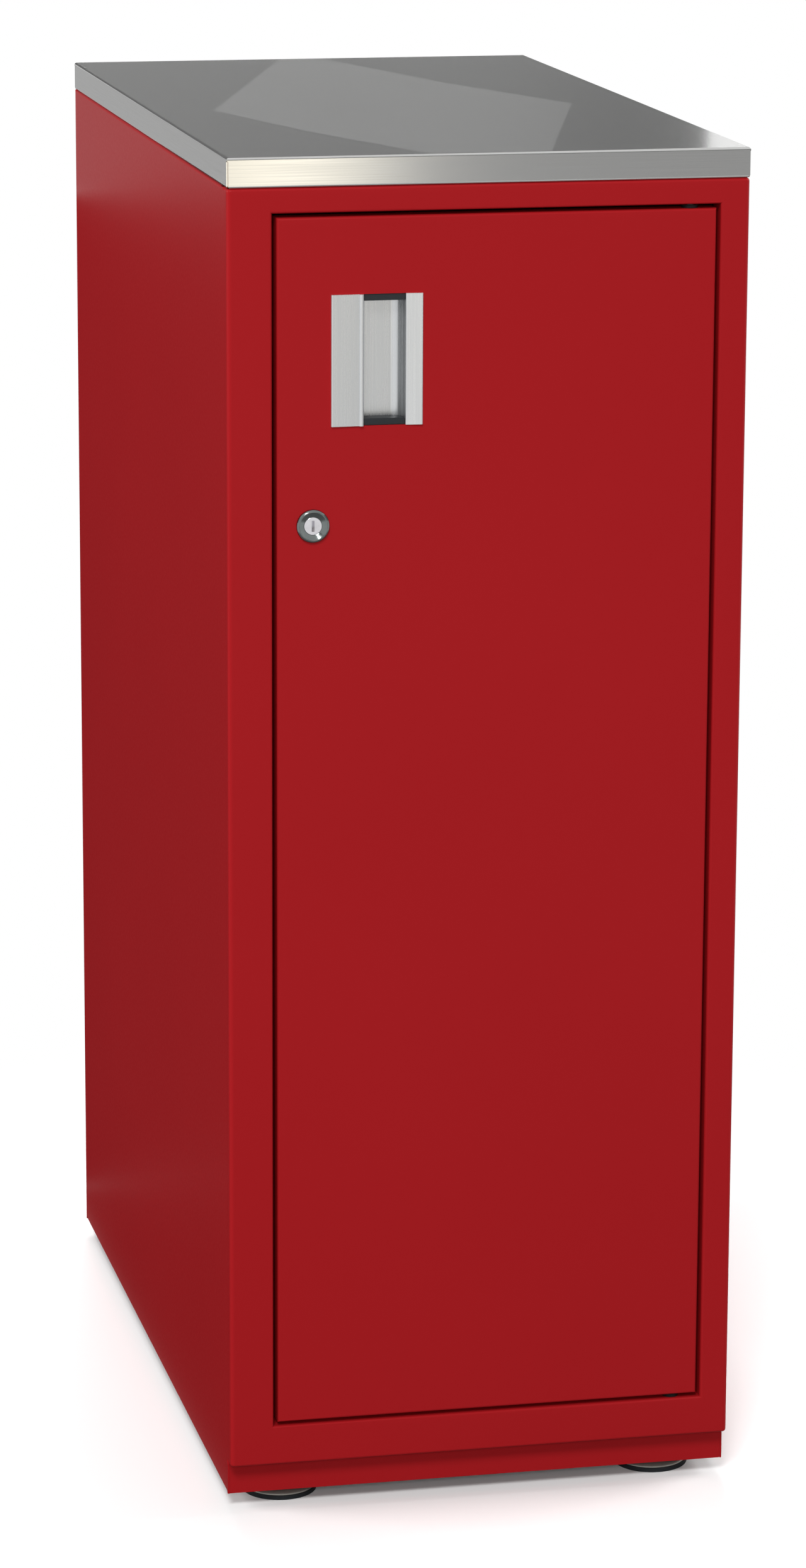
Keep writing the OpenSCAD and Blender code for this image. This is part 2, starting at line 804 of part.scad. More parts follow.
module handle_clamps() {
    h = clamp_t / 2;
    path = [
        [clamp_l - clamp_foot, y_skin + h, 0], [clamp_l - h, y_skin + h, 0], [clamp_l - h, y_clamp + h, 0],
        [clamp_r + h, y_clamp + h, 0], [clamp_r + h, y_skin + h, 0], [clamp_r + clamp_foot, y_skin + h, 0],
    ];
    color("gray") for (z = clamp_zs) difference() {
        translate([0, 0, z]) linear_extrude(clamp_h) folded_section(path, clamp_t);
        along_y(clamp_x, y_clamp - cut, z + clamp_h / 2)
            cylinder(d = handle_screw_d + 2 * hole_gap, h = clamp_t + 2 * cut);
    }
}

module handle_screws() {
    color("silver") for (z = clamp_zs) {
        along_y(clamp_x, y_clamp, z + clamp_h / 2)
            cylinder(d = handle_screw_d, h = clamp_t + handle_screw_head_t / 2);
        along_y(clamp_x, y_clamp + clamp_t, z + clamp_h / 2)
            cylinder(d = handle_screw_head_d, h = handle_screw_head_t);
    }
}

// Bezel and barrel, with the bezel's dished face towards -Y
module lock_housing() {
    bore_r = bore_d / 2;
    bezel_r = bezel_d / 2;
    barrel_r = barrel_d / 2;
    dish_r = bezel_r - dish_inset;
    profile = [
        [bore_r, plug_face - y_front], [bore_r + bezel_rim, plug_face - y_front], [dish_r, -lock_proud],
        [dish_r + bezel_rim / 2, -lock_proud], [bezel_r, -bezel_rim], [bezel_r, 0], [barrel_r, 0],
        [barrel_r, barrel_end - y_front], [bore_r, barrel_end - y_front],
    ];
    color("gainsboro") along_y(lock_x, y_front, lock_z) rotate_extrude() polygon(profile);
}

module lock_nut() {
    color("gray") along_y(lock_x, y_skin, lock_z) difference() {
        cylinder(d = lock_nut_d, h = lock_nut_t, $fn = 6);
        translate([0, 0, -cut]) cylinder(d = barrel_d + 2 * running_gap, h = lock_nut_t + 2 * cut);
    }
}

module lock_plug() {
    color("whitesmoke") difference() {
        union() {
            along_y(lock_x, plug_face, lock_z) cylinder(d = plug_d, h = y_cam - plug_face);
            block([lock_x - tang_w / 2, y_cam - cut, lock_z - tang_w / 2],
                  [lock_x + tang_w / 2, y_cam + cam_t, lock_z + tang_w / 2]);
        }
        block([lock_x - keyway_w / 2, plug_face - cut, lock_z - keyway_h / 2],
              [lock_x + keyway_w / 2, plug_face + keyway_depth, lock_z + keyway_h / 2]);
        along_y(lock_x, y_cam + cam_t - cam_screw_l, lock_z) cylinder(d = cam_screw_d, h = cam_screw_l + cut);
    }
}

module lock_cam() {
    square_w = tang_w + 2 * hole_gap;
    color("silver") difference() {
        union() {
            along_y(lock_x, y_cam, lock_z) cylinder(d = cam_w, h = cam_t);
            block([lock_x - cam_w / 2, y_cam, lock_z - cam_l], [lock_x + cam_w / 2, y_cam + cam_t, lock_z]);
        }
        block([lock_x - square_w / 2, y_cam - cut, lock_z - square_w / 2],
              [lock_x + square_w / 2, y_cam + cam_t + cut, lock_z + square_w / 2]);
    }
}

module cam_screw() {
    y = y_cam + cam_t;
    shank_l = cam_screw_l + cam_screw_head_t / 2;
    color("silver") {
        along_y(lock_x, y, lock_z) cylinder(d = cam_screw_head_d, h = cam_screw_head_t);
        along_y(lock_x, y - cam_screw_l, lock_z) cylinder(d = cam_screw_d - 2 * running_gap, h = shank_l);
    }
}

// Pressed steel cup: it sits in the glide's rim, and its dome rises to a neck round the stud's socket
module foot_cup() {
    cup_r = foot_d / 2 - glide_rim;
    neck_r = cup_neck_d / 2;
    socket_r = stud_d / 2 + running_gap;
    dome = [for (i = [0 : dome_steps]) let (a = 90 * i / dome_steps)
        [neck_r + (cup_r - neck_r) * cos(a), glide_h + (foot_h - glide_h) * sin(a)]];
    color("gainsboro") rotate_extrude() polygon(concat(
        [[0, cup_seat_z], [cup_r, cup_seat_z]], dome,
        [[socket_r, foot_h], [socket_r, socket_z], [0, socket_z]]));
}

// Glide pad with a raised rim that the cup sits in
module foot_glide() {
    color("black") difference() {
        cylinder(d = foot_d, h = glide_h);
        translate([0, 0, cup_seat_z]) cylinder(r = foot_d / 2 - glide_rim + running_gap, h = glide_h);
    }
}

// Threaded stud with a hexagon to turn it by, which meets the gusset when screwed home
module foot_stud() {
    top = z_nut + weld_nut_h + foot_travel + stud_spare;
    color("silver") difference() {
        union() {
            translate([0, 0, socket_z]) cylinder(d = stud_d, h = top - socket_z);
            translate([0, 0, foot_h]) cylinder(d = stud_hex_d, h = z_gusset - bumper_gap - foot_h, $fn = 6);
        }
        translate([-stud_d, -driver_slot_w / 2, top - driver_slot_depth])
            cube([2 * stud_d, driver_slot_w, driver_slot_depth + cut]);
    }
}

left_side_panel();
right_side_panel();
lock_stile_channel();
hinge_stile_channel();
back_panel();
top_rail();
bottom_rail();
kick_plate();
floor_panel();
corner_gussets();
foot_weld_nuts();
back_rivets();
shelf_standards();
shelf_clips();
lower_shelf();
upper_shelf();
worktop_skin();
worktop_core();
worktop_screws();
top_pivot_bracket();
bottom_pivot_bracket();
top_pivot_pin();
bottom_pivot_pin();
door_stop_tabs();
door_bumpers();
latch_magnet();
door_skin();
door_stiffener();
top_pivot_bush();
bottom_pivot_bush();
handle_pull();
handle_end_caps();
handle_clamps();
handle_screws();
lock_housing();
lock_nut();
lock_plug();
lock_cam();
cam_screw();
for (place = foot_places) translate([place[1], place[2], 0]) {
    foot_cup();
    foot_glide();
    foot_stud();
}
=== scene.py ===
"""Looks of a lockable steel storage cabinet: its meshes, finishes, studio and camera.

All sizes are in metres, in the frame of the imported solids: +Z is up and the door faces -Y.
"""

import logging
import math
from contextlib import contextmanager
from dataclasses import dataclass
from enum import Enum
from typing import Any, Callable, Iterator

import bmesh
import bpy
from mathutils import Matrix, Vector


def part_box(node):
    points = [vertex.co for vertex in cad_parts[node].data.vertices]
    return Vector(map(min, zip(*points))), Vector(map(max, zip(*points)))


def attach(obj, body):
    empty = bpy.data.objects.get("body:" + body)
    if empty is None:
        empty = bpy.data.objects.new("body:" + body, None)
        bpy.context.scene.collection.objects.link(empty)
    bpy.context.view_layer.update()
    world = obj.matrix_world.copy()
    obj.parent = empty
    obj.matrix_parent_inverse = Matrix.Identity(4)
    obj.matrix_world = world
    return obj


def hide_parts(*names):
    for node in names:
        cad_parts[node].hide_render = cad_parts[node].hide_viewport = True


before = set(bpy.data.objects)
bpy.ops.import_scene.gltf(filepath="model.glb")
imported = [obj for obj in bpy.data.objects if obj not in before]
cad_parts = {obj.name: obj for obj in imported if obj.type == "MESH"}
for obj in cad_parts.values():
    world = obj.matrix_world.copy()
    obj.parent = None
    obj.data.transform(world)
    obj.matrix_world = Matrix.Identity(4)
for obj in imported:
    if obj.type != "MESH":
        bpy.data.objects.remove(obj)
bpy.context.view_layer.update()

LOG = logging.getLogger("cabinet")

MM = 0.001
NEAR = 0.01 * MM
MERGE = 0.001 * MM
FLAT_ANGLE = math.radians(0.5)
SMOOTH_ANGLE = math.radians(35)
SHARP_ANGLE = math.radians(40)
FACING_FRONT = (math.pi / 2, 0, 0)
LYING_FLAT = (0, 0, 0)
WHITE = "#FFFFFF"

Piece = bpy.types.Object
Tree = bpy.types.NodeTree
Socket = bpy.types.NodeSocket
Edge = bmesh.types.BMEdge
Face = bmesh.types.BMFace
Test = Callable[[Any], bool]
Point = tuple[float, float, float]
Profile = list[tuple[float, float]]


class Element(Enum):
    """Kinds of mesh element that a selection holds, with the name of their list in a mesh."""

    VERT = "verts"
    EDGE = "edges"
    FACE = "faces"


class Body(Enum):
    """Moving bodies that pieces ride on, apart from the feet."""

    CABINET = "cabinet"
    DOOR = "door"
    LOCK = "lock"


class Slot(Enum):
    """Material slots of the record."""

    POWDER_COAT = "red_powder_coat"
    STAINLESS = "stainless_steel"
    ALUMINIUM = "anodised_aluminium"
    CHROME = "lock_chrome"
    NICKEL = "nickel_plated_steel"
    ZINC = "zinc_plated_steel"
    BOARD = "particle_board"
    PLASTIC = "black_plastic"
    NYLON = "black_nylon"
    RUBBER = "black_rubber"


class Corner(Enum):
    """Corners of the cabinet that stand on a foot."""

    FRONT_LEFT = "front_left"
    FRONT_RIGHT = "front_right"
    REAR_LEFT = "rear_left"
    REAR_RIGHT = "rear_right"


@dataclass(frozen=True)
class Extent:
    """Box that a node of the frame fills."""

    low: Vector
    high: Vector

    @classmethod
    def of(cls, node: str) -> "Extent":
        """Reads a node's box from the frame.

        Args:
            node: Name of the node.

        Returns:
            The node's box at rest.
        """
        low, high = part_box(node)
        return cls(low, high)

    @property
    def centre(self) -> Vector:
        """Middle of the box."""
        return (self.low + self.high) / 2

    @property
    def size(self) -> Vector:
        """Edge lengths of the box."""
        return self.high - self.low

    @property
    def top(self) -> Vector:
        """Middle of the upper face."""
        return Vector((self.centre.x, self.centre.y, self.high.z))

    @property
    def front(self) -> Vector:
        """Middle of the face towards -Y."""
        return Vector((self.centre.x, self.low.y, self.centre.z))


# Modelling tools

def near(a: float, b: float) -> bool:
    """Says whether two lengths agree to a hundredth of a millimetre."""
    return abs(a - b) < NEAR


def middle(edge: Edge) -> Vector:
    """Gives the mid point of an edge."""
    return (edge.verts[0].co + edge.verts[1].co) / 2


def unit(axis: str) -> Vector:
    """Gives the unit vector along an axis, from the axis's letter."""
    return Vector([float(letter == axis) for letter in "XYZ"])


def activate(piece: Piece) -> None:
    """Leaves one object selected and active.

    Args:
        piece: Object to work on.
    """
    bpy.ops.object.select_all(action="DESELECT")
    piece.select_set(True)
    bpy.context.view_layer.objects.active = piece


@contextmanager
def editing(piece: Piece) -> Iterator[None]:
    """Keeps an object in edit mode for the length of a with block.

    Args:
        piece: Object to edit.

    Yields:
        Nothing.
    """
    activate(piece)
    bpy.ops.object.mode_set(mode="EDIT")
    yield
    bpy.ops.object.mode_set(mode="OBJECT")


def pick(kind: Element, test: Test = lambda item: True) -> int:
    """Selects the elements of the edited mesh that pass a test, and nothing else.

    Args:
        kind: Kind of element to select.
        test: Says whether an element is wanted.

    Returns:
        How many elements were selected.
    """
    bpy.ops.mesh.select_mode(type=kind.name)
    bpy.ops.mesh.select_all(action="DESELECT")
    mesh = bpy.context.edit_object.data
    shape = bmesh.from_edit_mesh(mesh)
    chosen = [item for item in getattr(shape, kind.value) if test(item)]
    for item in chosen:
        item.select_set(True)
    shape.select_flush_mode()
    bmesh.update_edit_mesh(mesh)
    return len(chosen)


def draw_out(by: Point) -> None:
    """Extrudes the selected edges or faces of the edited mesh.

    Args:
        by: Way and length of the extrusion.
    """
    if bpy.context.tool_settings.mesh_select_mode[2]:
        bpy.ops.mesh.extrude_region_move(TRANSFORM_OT_translate={"value": by})
    else:
        bpy.ops.mesh.extrude_edges_move(TRANSFORM_OT_translate={"value": by})


def cut_across(point: Vector, way: str, test: Test = lambda face: True) -> None:
    """Cuts faces of the edited mesh along a plane.

    Args:
        point: A point on the plane.
        way: Letter of the axis that the plane is square to.
        test: Says whether a face is to be cut.
    """
    pick(Element.FACE, test)
    bpy.ops.mesh.bisect(plane_co=point, plane_no=unit(way))


def cut_window(low: Vector, high: Vector) -> None:
    """Cuts a window out of the upright sheet that is being edited.

    Args:
        low: Lower left corner of the window.
        high: Upper right corner of the window.
    """
    for way in "XZ":
        for corner in (low, high):
            cut_across(corner, way)
    centre = (low + high) / 2
    pick(Element.FACE, lambda face: (face.calc_center_median() - centre).length < MM)
    bpy.ops.mesh.delete(type="FACE")


def fold_lips(low: Vector, high: Vector, depth: float, beside: float, above: float) -> None:
    """Folds the selected outline of an upright sheet back, and then to lips along its plane.

    Args:
        low: Lower left corner of the outline.
        high: Upper right corner of the outline.
        depth: How far the sheet is folded back.
        beside: Width of the lips at the sides, below zero where they turn inwards.
        above: Width of the lips at the ends, below zero where they turn inwards.
    """
    draw_out((0, depth, 0))
    draw_out((0, 0, 0))
    size = high - low
    share = ((size.x + 2 * beside) / size.x, 1, (size.z + 2 * above) / size.z)
    bpy.ops.transform.resize(value=share, center_override=(low + high) / 2)


def round_edges(test: Test, radius: float, flats: int) -> None:
    """Rounds edges of the edited mesh.

    Args:
        test: Says whether an edge is to be rounded.
        radius: Radius of the rounding.
        flats: How many flats the rounding has.
    """
    if pick(Element.EDGE, test):
        bpy.ops.mesh.bevel(offset=radius, segments=flats, affect="EDGES", clamp_overlap=True)


def tidy_faces() -> None:
    """Merges doubles of the edited mesh and turns its faces outwards."""
    bpy.ops.mesh.select_all(action="SELECT")
    bpy.ops.mesh.remove_doubles(threshold=MERGE)
    bpy.ops.mesh.normals_make_consistent(inside=False)


def finish_with(piece: Piece, kind: str, **settings: Any) -> None:
    """Adds a modifier to an object and applies it.

    Args:
        piece: Object that takes the modifier.
        kind: Type of modifier.
        **settings: Values of the modifier's properties.
    """
    activate(piece)
    bpy.ops.object.modifier_add(type=kind)
    modifier = piece.modifiers[-1]
    for name, value in settings.items():
        setattr(modifier, name, value)
    bpy.ops.object.modifier_apply(modifier=modifier.name)


def thicken(piece: Piece, sheet: float) -> None:
    """Gives an open surface the thickness of its sheet, inwards.

    Args:
        piece: Surface whose faces point outwards.
        sheet: Thickness of the sheet.
    """
    finish_with(
        piece, "SOLIDIFY", thickness=sheet, offset=-1.0, use_even_offset=True, use_quality_normals=True
    )


def settled(name: str, scale: Point = (1, 1, 1)) -> Piece:
    """Names the primitive that was added last and puts its place, turn and size into its mesh.

    Args:
        name: Name of the piece.
        scale: How far the primitive is stretched along its own axes.

    Returns:
        The new piece.
    """
    piece = bpy.context.object
    piece.name = piece.data.name = name
    piece.scale = scale
    bpy.ops.object.transform_apply(location=True, rotation=True, scale=True)
    return piece


def flat_sheet(name: str, centre: Vector, width: float, height: float, upright: bool) -> Piece:
    """Starts a piece from a plane at its size and place.

    Args:
        name: Name of the piece.
        centre: Middle of the plane.
        width: Size along X.
        height: Size along Z if upright, else along Y.
        upright: Whether the plane faces -Y, and not +Z.

    Returns:
        The new piece, with its place in its mesh.
    """
    bpy.ops.object.select_all(action="DESELECT")
    turn = FACING_FRONT if upright else LYING_FLAT
    bpy.ops.mesh.primitive_plane_add(size=1, location=centre, rotation=turn)
    return settled(name, (width, height, 1))


def cylinder(name: str, centre: Vector, radius: float, length: float, flats: int, turn: Point) -> Piece:
    """Starts a piece from a cylinder at its size and place.

    Args:
        name: Name of the piece.
        centre: Middle of the cylinder.
        radius: Radius of the cylinder.
        length: Length of the cylinder.
        flats: How many flats it has.
        turn: Turn that takes its axis from Z to where it lies.

    Returns:
        The new piece, with its place in its mesh.
    """
    bpy.ops.object.select_all(action="DESELECT")
    bpy.ops.mesh.primitive_cylinder_add(
        vertices=flats, radius=radius, depth=length, location=centre, rotation=turn
    )
    return settled(name)


def drawn_line(name: str, points: list[Vector]) -> Piece:
    """Draws a line from point to point.

    Args:
        name: Name of the piece.
        points: Points of the line in order.

    Returns:
        The line as a mesh of edges.
    """
    piece = flat_sheet(name, points[0], MM, MM, upright=False)
    with editing(piece):
        pick(Element.VERT)
        bpy.ops.mesh.merge(type="CENTER")
        for start, end in zip(points, points[1:]):
            bpy.ops.mesh.extrude_vertices_move(TRANSFORM_OT_translate={"value": end - start})
    return piece


def turned(name: str, profile: Profile, centre: Vector, axis: str, steps: int) -> Piece:
    """Turns a profile into a round piece, as on a lathe.

    Args:
        name: Name of the piece.
        profile: Radius and place along the axis of each point, in order.
        centre: Point on the axis that the places are counted from.
        axis: Letter of the axis.
        steps: How many flats a full turn has.

    Returns:
        The round piece.
    """
    points = [centre + Vector((radius, 0, 0)) + place * unit(axis) for radius, place in profile]
    piece = drawn_line(name, points)
    with editing(piece):
        pick(Element.VERT)
        bpy.ops.mesh.spin(steps=steps, angle=2 * math.pi, center=centre, axis=unit(axis))
        tidy_faces()
    return piece


def arc(centre: tuple[float, float], radius: float, start: float, end: float, steps: int) -> Profile:
    """Gives the points of an arc.

    Args:
        centre: Centre of the arc.
        radius: Radius of the arc.
        start: Angle of the first point, in degrees.
        end: Angle of the last point, in degrees.
        steps: How many steps the arc has.

    Returns:
        The points from start to end.
    """
    angles = [math.radians(start + (end - start) * i / steps) for i in range(steps + 1)]
    return [(centre[0] + radius * math.cos(a), centre[1] + radius * math.sin(a)) for a in angles]


def copied(piece: Piece, name: str, by: Vector) -> Piece:
    """Copies a piece to another place.

    Args:
        piece: Piece to copy.
        name: Name of the copy.
        by: How far the copy lies from the piece.

    Returns:
        The copy, with a mesh of its own.
    """
    mesh = piece.data.copy()
    mesh.name = name
    mesh.transform(Matrix.Translation(by))
    copy = bpy.data.objects.new(name, mesh)
    bpy.context.scene.collection.objects.link(copy)
    return copy


def joined(pieces: list[Piece], name: str) -> Piece:
    """Joins pieces of one solid into one object.

    Args:
        pieces: Objects to join.
        name: Name of the result.

    Returns:
        The joined object.
    """
    activate(pieces[0])
    for piece in pieces[1:]:
        piece.select_set(True)
    bpy.ops.object.join()
    pieces[0].name = pieces[0].data.name = name
    return pieces[0]


def softened(node: str, width: float) -> Piece:
    """Copies a node of the frame and breaks its sharp edges.

    Args:
        node: Name of the node.
        width: Width of the broken edges.

    Returns:
        The copy, with a mesh of its own.
    """
    piece = copied(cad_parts[node], f"{node}_dressed", Vector())
    with editing(piece):
        bpy.ops.mesh.customdata_custom_splitnormals_clear()
        bpy.ops.mesh.select_all(action="SELECT")
        bpy.ops.mesh.remove_doubles(threshold=MERGE)
        bpy.ops.mesh.dissolve_limited(angle_limit=FLAT_ANGLE)
    finish_with(piece, "BEVEL", width=width, segments=2, limit_method="ANGLE", angle_limit=SHARP_ANGLE)
    return piece


# Finishes

def linear(hex_colour: str) -> tuple[float, float, float, float]:
    """Turns an sRGB hex colour into linear light.

    Args:
        hex_colour: Colour such as "#9E1B20".

    Returns:
        Red, green, blue and alpha.
    """
    shares = [int(hex_colour[i : i + 2], 16) / 255 for i in (1, 3, 5)]
    red, green, blue = (s / 12.92 if s <= 0.04045 else ((s + 0.055) / 1.055) ** 2.4 for s in shares)
    return (red, green, blue, 1.0)


def add_node(tree: Tree, kind: str, inputs: dict | None = None, **settings: Any) -> bpy.types.Node:
    """Adds a node to a tree, with its settings and links.

    Args:
        tree: Tree that takes the node.
        kind: Type name of the node.
        inputs: Values or output sockets for the node's inputs, by name or number.
        **settings: Values of the node's properties.

    Returns:
        The new node.
    """
    node = tree.nodes.new(kind)
    for name, value in settings.items():
        setattr(node, name, value)
    for socket, value in (inputs or {}).items():
        if isinstance(value, Socket):
            tree.links.new(value, node.inputs[socket])
        else:
            node.inputs[socket].default_value = value
    return node


def emptied(owner: bpy.types.Material | bpy.types.World) -> Tree:
    """Empties the node tree of a new material or world.

    Args:
        owner: Material or world.

    Returns:
        Its tree, with no nodes.
    """
    owner.use_nodes = True
    owner.node_tree.nodes.clear()
    return owner.node_tree


@dataclass(frozen=True, kw_only=True)
class Finish:
    """Surface finish of a real material, which builds its own node material."""

    name: str
    slot: Slot
    colour: str
    other_colour: str
    metallic: float = 0.0
    roughness: float
    specular: float = 0.5
    gloss_spread: float = 0.0
    relief: float = 0.0
    relief_strength: float = 0.3

    def material(self) -> bpy.types.Material:
        """Builds the material on first use.

        Returns:
            The finished material.
        """
        found = bpy.data.materials.get(self.name)
        if found:
            return found
        material = bpy.data.materials.new(self.name)
        material.diffuse_color = linear(self.colour)
        tree = emptied(material)
        plain = {"Base Color": linear(self.colour), "Metallic": self.metallic, "Roughness": self.roughness}
        shader = add_node(tree, "ShaderNodeBsdfPrincipled", plain | {"Specular IOR Level": self.specular})
        add_node(tree, "ShaderNodeOutputMaterial", {"Surface": shader.outputs["BSDF"]})
        self.texture(tree, shader)
        return material

    def texture(self, tree: Tree, shader: bpy.types.Node) -> None:
        """Drives colour, gloss and relief of the shader by the pattern of the surface.

        Args:
            tree: Tree of the material.
            shader: Shader that the pattern drives.
        """
        tone, height = self.pattern(tree)
        colours = {0: tone, 6: linear(self.colour), 7: linear(self.other_colour)}
        blend = add_node(tree, "ShaderNodeMix", colours, data_type="RGBA")
        tree.links.new(blend.outputs[2], shader.inputs["Base Color"])
        if self.gloss_spread:
            spread = self.gloss_spread
            ends = {"To Min": self.roughness - spread, "To Max": self.roughness + spread}
            gloss = add_node(tree, "ShaderNodeMapRange", {"Value": height} | ends)
            tree.links.new(gloss.outputs["Result"], shader.inputs["Roughness"])
        if self.relief:
            rise = {"Height": height, "Strength": self.relief_strength, "Distance": self.relief}
            bump = add_node(tree, "ShaderNodeBump", rise)
            tree.links.new(bump.outputs["Normal"], shader.inputs["Normal"])

    def pattern(self, tree: Tree) -> tuple[Socket, Socket]:
        """Adds the pattern of the surface, which each kind of finish has of its own.

        Args:
            tree: Tree of the material.

        Returns:
            Share of the other colour, and height of the surface.
        """
        raise NotImplementedError


@dataclass(frozen=True, kw_only=True)
class PowderCoat(Finish):
    """Polyester powder, sprayed on and baked: an even satin skin with a faint orange peel."""

    peel: float
    drift: float

    def pattern(self, tree: Tree) -> tuple[Socket, Socket]:
        """Adds the slight drift of tone and the orange peel.

        Args:
            tree: Tree of the material.

        Returns:
            Share of the other colour, and height of the surface.
        """
        place = add_node(tree, "ShaderNodeTexCoord").outputs["Object"]
        tone = {"Vector": place, "Scale": 1 / self.drift, "Detail": 3.0}
        peel = {"Vector": place, "Scale": 1 / self.peel, "Detail": 2.0}
        return tuple(add_node(tree, "ShaderNodeTexNoise", noise).outputs["Fac"] for noise in (tone, peel))


@dataclass(frozen=True, kw_only=True)
class SatinMetal(Finish):
    """Plated or anodised metal: a soft sheen with fine marks from drawing, pressing or the bath."""

    mark: Point
    metallic: float = 1.0
    gloss_spread: float = 0.06
    relief_strength: float = 0.15
    uv_map: str = ""

    def pattern(self, tree: Tree) -> tuple[Socket, Socket]:
        """Adds marks whose size along each axis is given, on the piece's own map if it has one.

        Args:
            tree: Tree of the material.

        Returns:
            Share of the other colour, and height of the surface.
        """
        if self.uv_map:
            place = add_node(tree, "ShaderNodeUVMap", uv_map=self.uv_map).outputs["UV"]
        else:
            place = add_node(tree, "ShaderNodeTexCoord").outputs["Object"]
        stretch = {"Vector": place, "Scale": tuple(1 / size for size in self.mark)}
        stretched = add_node(tree, "ShaderNodeMapping", stretch).outputs["Vector"]
        marks = add_node(tree, "ShaderNodeTexNoise", {"Vector": stretched, "Scale": 1.0, "Detail": 3.0})
        return marks.outputs["Fac"], marks.outputs["Fac"]


@dataclass(frozen=True, kw_only=True)
class BrushedSteel(SatinMetal):
    """Stainless sheet brushed along the grain: fine lines that draw reflections out across the grain."""

    anisotropy: float
    uv_map: str = "grain"

    def texture(self, tree: Tree, shader: bpy.types.Node) -> None:
        """Adds the brush lines and draws the gloss out across them.

        Args:
            tree: Tree of the material.
            shader: Shader that the pattern drives.
        """
        super().texture(tree, shader)
        tangent = add_node(tree, "ShaderNodeTangent", direction_type="UV_MAP", uv_map=self.uv_map)
        tree.links.new(tangent.outputs["Tangent"], shader.inputs["Tangent"])
        shader.inputs["Anisotropic"].default_value = self.anisotropy


@dataclass(frozen=True, kw_only=True)
class Moulded(Finish):
    """Moulded plastic or rubber: a dark matt skin with the fine grain of its mould."""

    grain: float
    specular: float = 0.3

    def pattern(self, tree: Tree) -> tuple[Socket, Socket]:
        """Adds the mould's grain.

        Args:
            tree: Tree of the material.

        Returns:
            Share of the other colour, and height of the surface.
        """
        place = add_node(tree, "ShaderNodeTexCoord").outputs["Object"]
        grain = add_node(tree, "ShaderNodeTexVoronoi", {"Vector": place, "Scale": 1 / self.grain})
        return grain.outputs["Distance"], grain.outputs["Distance"]


@dataclass(frozen=True, kw_only=True)
class PressedBoard(Finish):
    """Particle board: pale and brown chips pressed flat in resin."""

    chip: Point

    def pattern(self, tree: Tree) -> tuple[Socket, Socket]:
        """Adds the chips.

        Args:
            tree: Tree of the material.

        Returns:
            Share of the other colour, and height of the surface.
        """
        place = add_node(tree, "ShaderNodeTexCoord").outputs["Object"]
        stretch = {"Vector": place, "Scale": tuple(1 / size for size in self.chip)}
        stretched = add_node(tree, "ShaderNodeMapping", stretch).outputs["Vector"]
        chips = add_node(tree, "ShaderNodeTexVoronoi", {"Vector": stretched, "Scale": 1.0})
        shade = add_node(tree, "ShaderNodeSeparateColor", {"Color": chips.outputs["Color"]})
        return shade.outputs["Red"], chips.outputs["Distance"]


# Even deep red with a soft gloss. The peel is about 1 mm on a real coat, drawn at 2.4 mm so that it shows
RED_COAT = PowderCoat(
    name="red_polyester_powder_coat_baked",
    slot=Slot.POWDER_COAT,
    colour="#9F171C",
    other_colour="#9A151A",
    roughness=0.4,
    specular=0.1,
    gloss_spread=0.06,
    relief=0.25 * MM,
    relief_strength=0.12,
    peel=2.4 * MM,
    drift=260 * MM,
)
# Bright sheet with drawn-out reflections. Its lines are about 0.1 mm apart, drawn at 0.9 mm so that they show
STAINLESS = BrushedSteel(
    name="stainless_sheet_brushed",
    slot=Slot.STAINLESS,
    colour="#CBCBCA",
    other_colour="#BFBFBD",
    roughness=0.15,
    gloss_spread=0.05,
    mark=(0.9 * MM, 90 * MM, 1.0),
    anisotropy=0.6,
)
# Pale silver with upright die lines, because the extrusion stands upright
ALUMINIUM = SatinMetal(
    name="aluminium_extruded_clear_anodised",
    slot=Slot.ALUMINIUM,
    colour="#D1D3D4",
    other_colour="#C4C6C8",
    metallic=0.9,
    roughness=0.28,
    mark=(0.9 * MM, 0.9 * MM, 120 * MM),
    relief=0.012 * MM,
)
# Chrome of the bezel with painted shade: its colour is darkened to stand in for the dark surroundings that
# plain chrome would mirror, which sets off the bright plug
CHROME_WITH_PAINTED_SHADE = SatinMetal(
    name="zinc_die_casting_dark_chrome_plated",
    slot=Slot.CHROME,
    colour="#7B8180",
    other_colour="#6A706F",
    roughness=0.12,
    mark=(5 * MM, 5 * MM, 5 * MM),
    relief=0.01 * MM,
)
# Bright, faintly cloudy mirror of the plug
CHROME = SatinMetal(
    name="brass_turning_chrome_plated",
    slot=Slot.CHROME,
    colour="#DAD9DD",
    other_colour="#C9C8CD",
    roughness=0.16,
    mark=(5 * MM, 5 * MM, 5 * MM),
    relief=0.01 * MM,
)
# Warm grey of the foot's cup, dull from pressing
NICKEL = SatinMetal(
    name="steel_pressing_nickel_plated",
    slot=Slot.NICKEL,
    colour="#A6A49D",
    other_colour="#95938C",
    metallic=0.7,
    roughness=0.42,
    mark=(3 * MM, 3 * MM, 3 * MM),
    relief=0.02 * MM,
)
# Cool blue-grey of fasteners, with the cloudy spangle of the bath
ZINC = SatinMetal(
    name="steel_bright_zinc_plated",
    slot=Slot.ZINC,
    colour="#C3C8CC",
    other_colour="#A9AEB4",
    roughness=0.3,
    mark=(2.2 * MM, 2.2 * MM, 2.2 * MM),
    relief=0.02 * MM,
)
# Dull tan with flat chips of two browns
BOARD = PressedBoard(
    name="particle_board_pressed",
    slot=Slot.BOARD,
    colour="#B5966A",
    other_colour="#8C6B43",
    roughness=0.8,
    relief=0.2 * MM,
    chip=(5 * MM, 3 * MM, 1.2 * MM),
)
# Near black with a fine grain that scatters its gloss
PLASTIC = Moulded(
    name="abs_moulded_fine_grain",
    slot=Slot.PLASTIC,
    colour="#1A1D20",
    other_colour="#24272A",
    roughness=0.5,
    grain=0.7 * MM,
    relief=0.05 * MM,
)
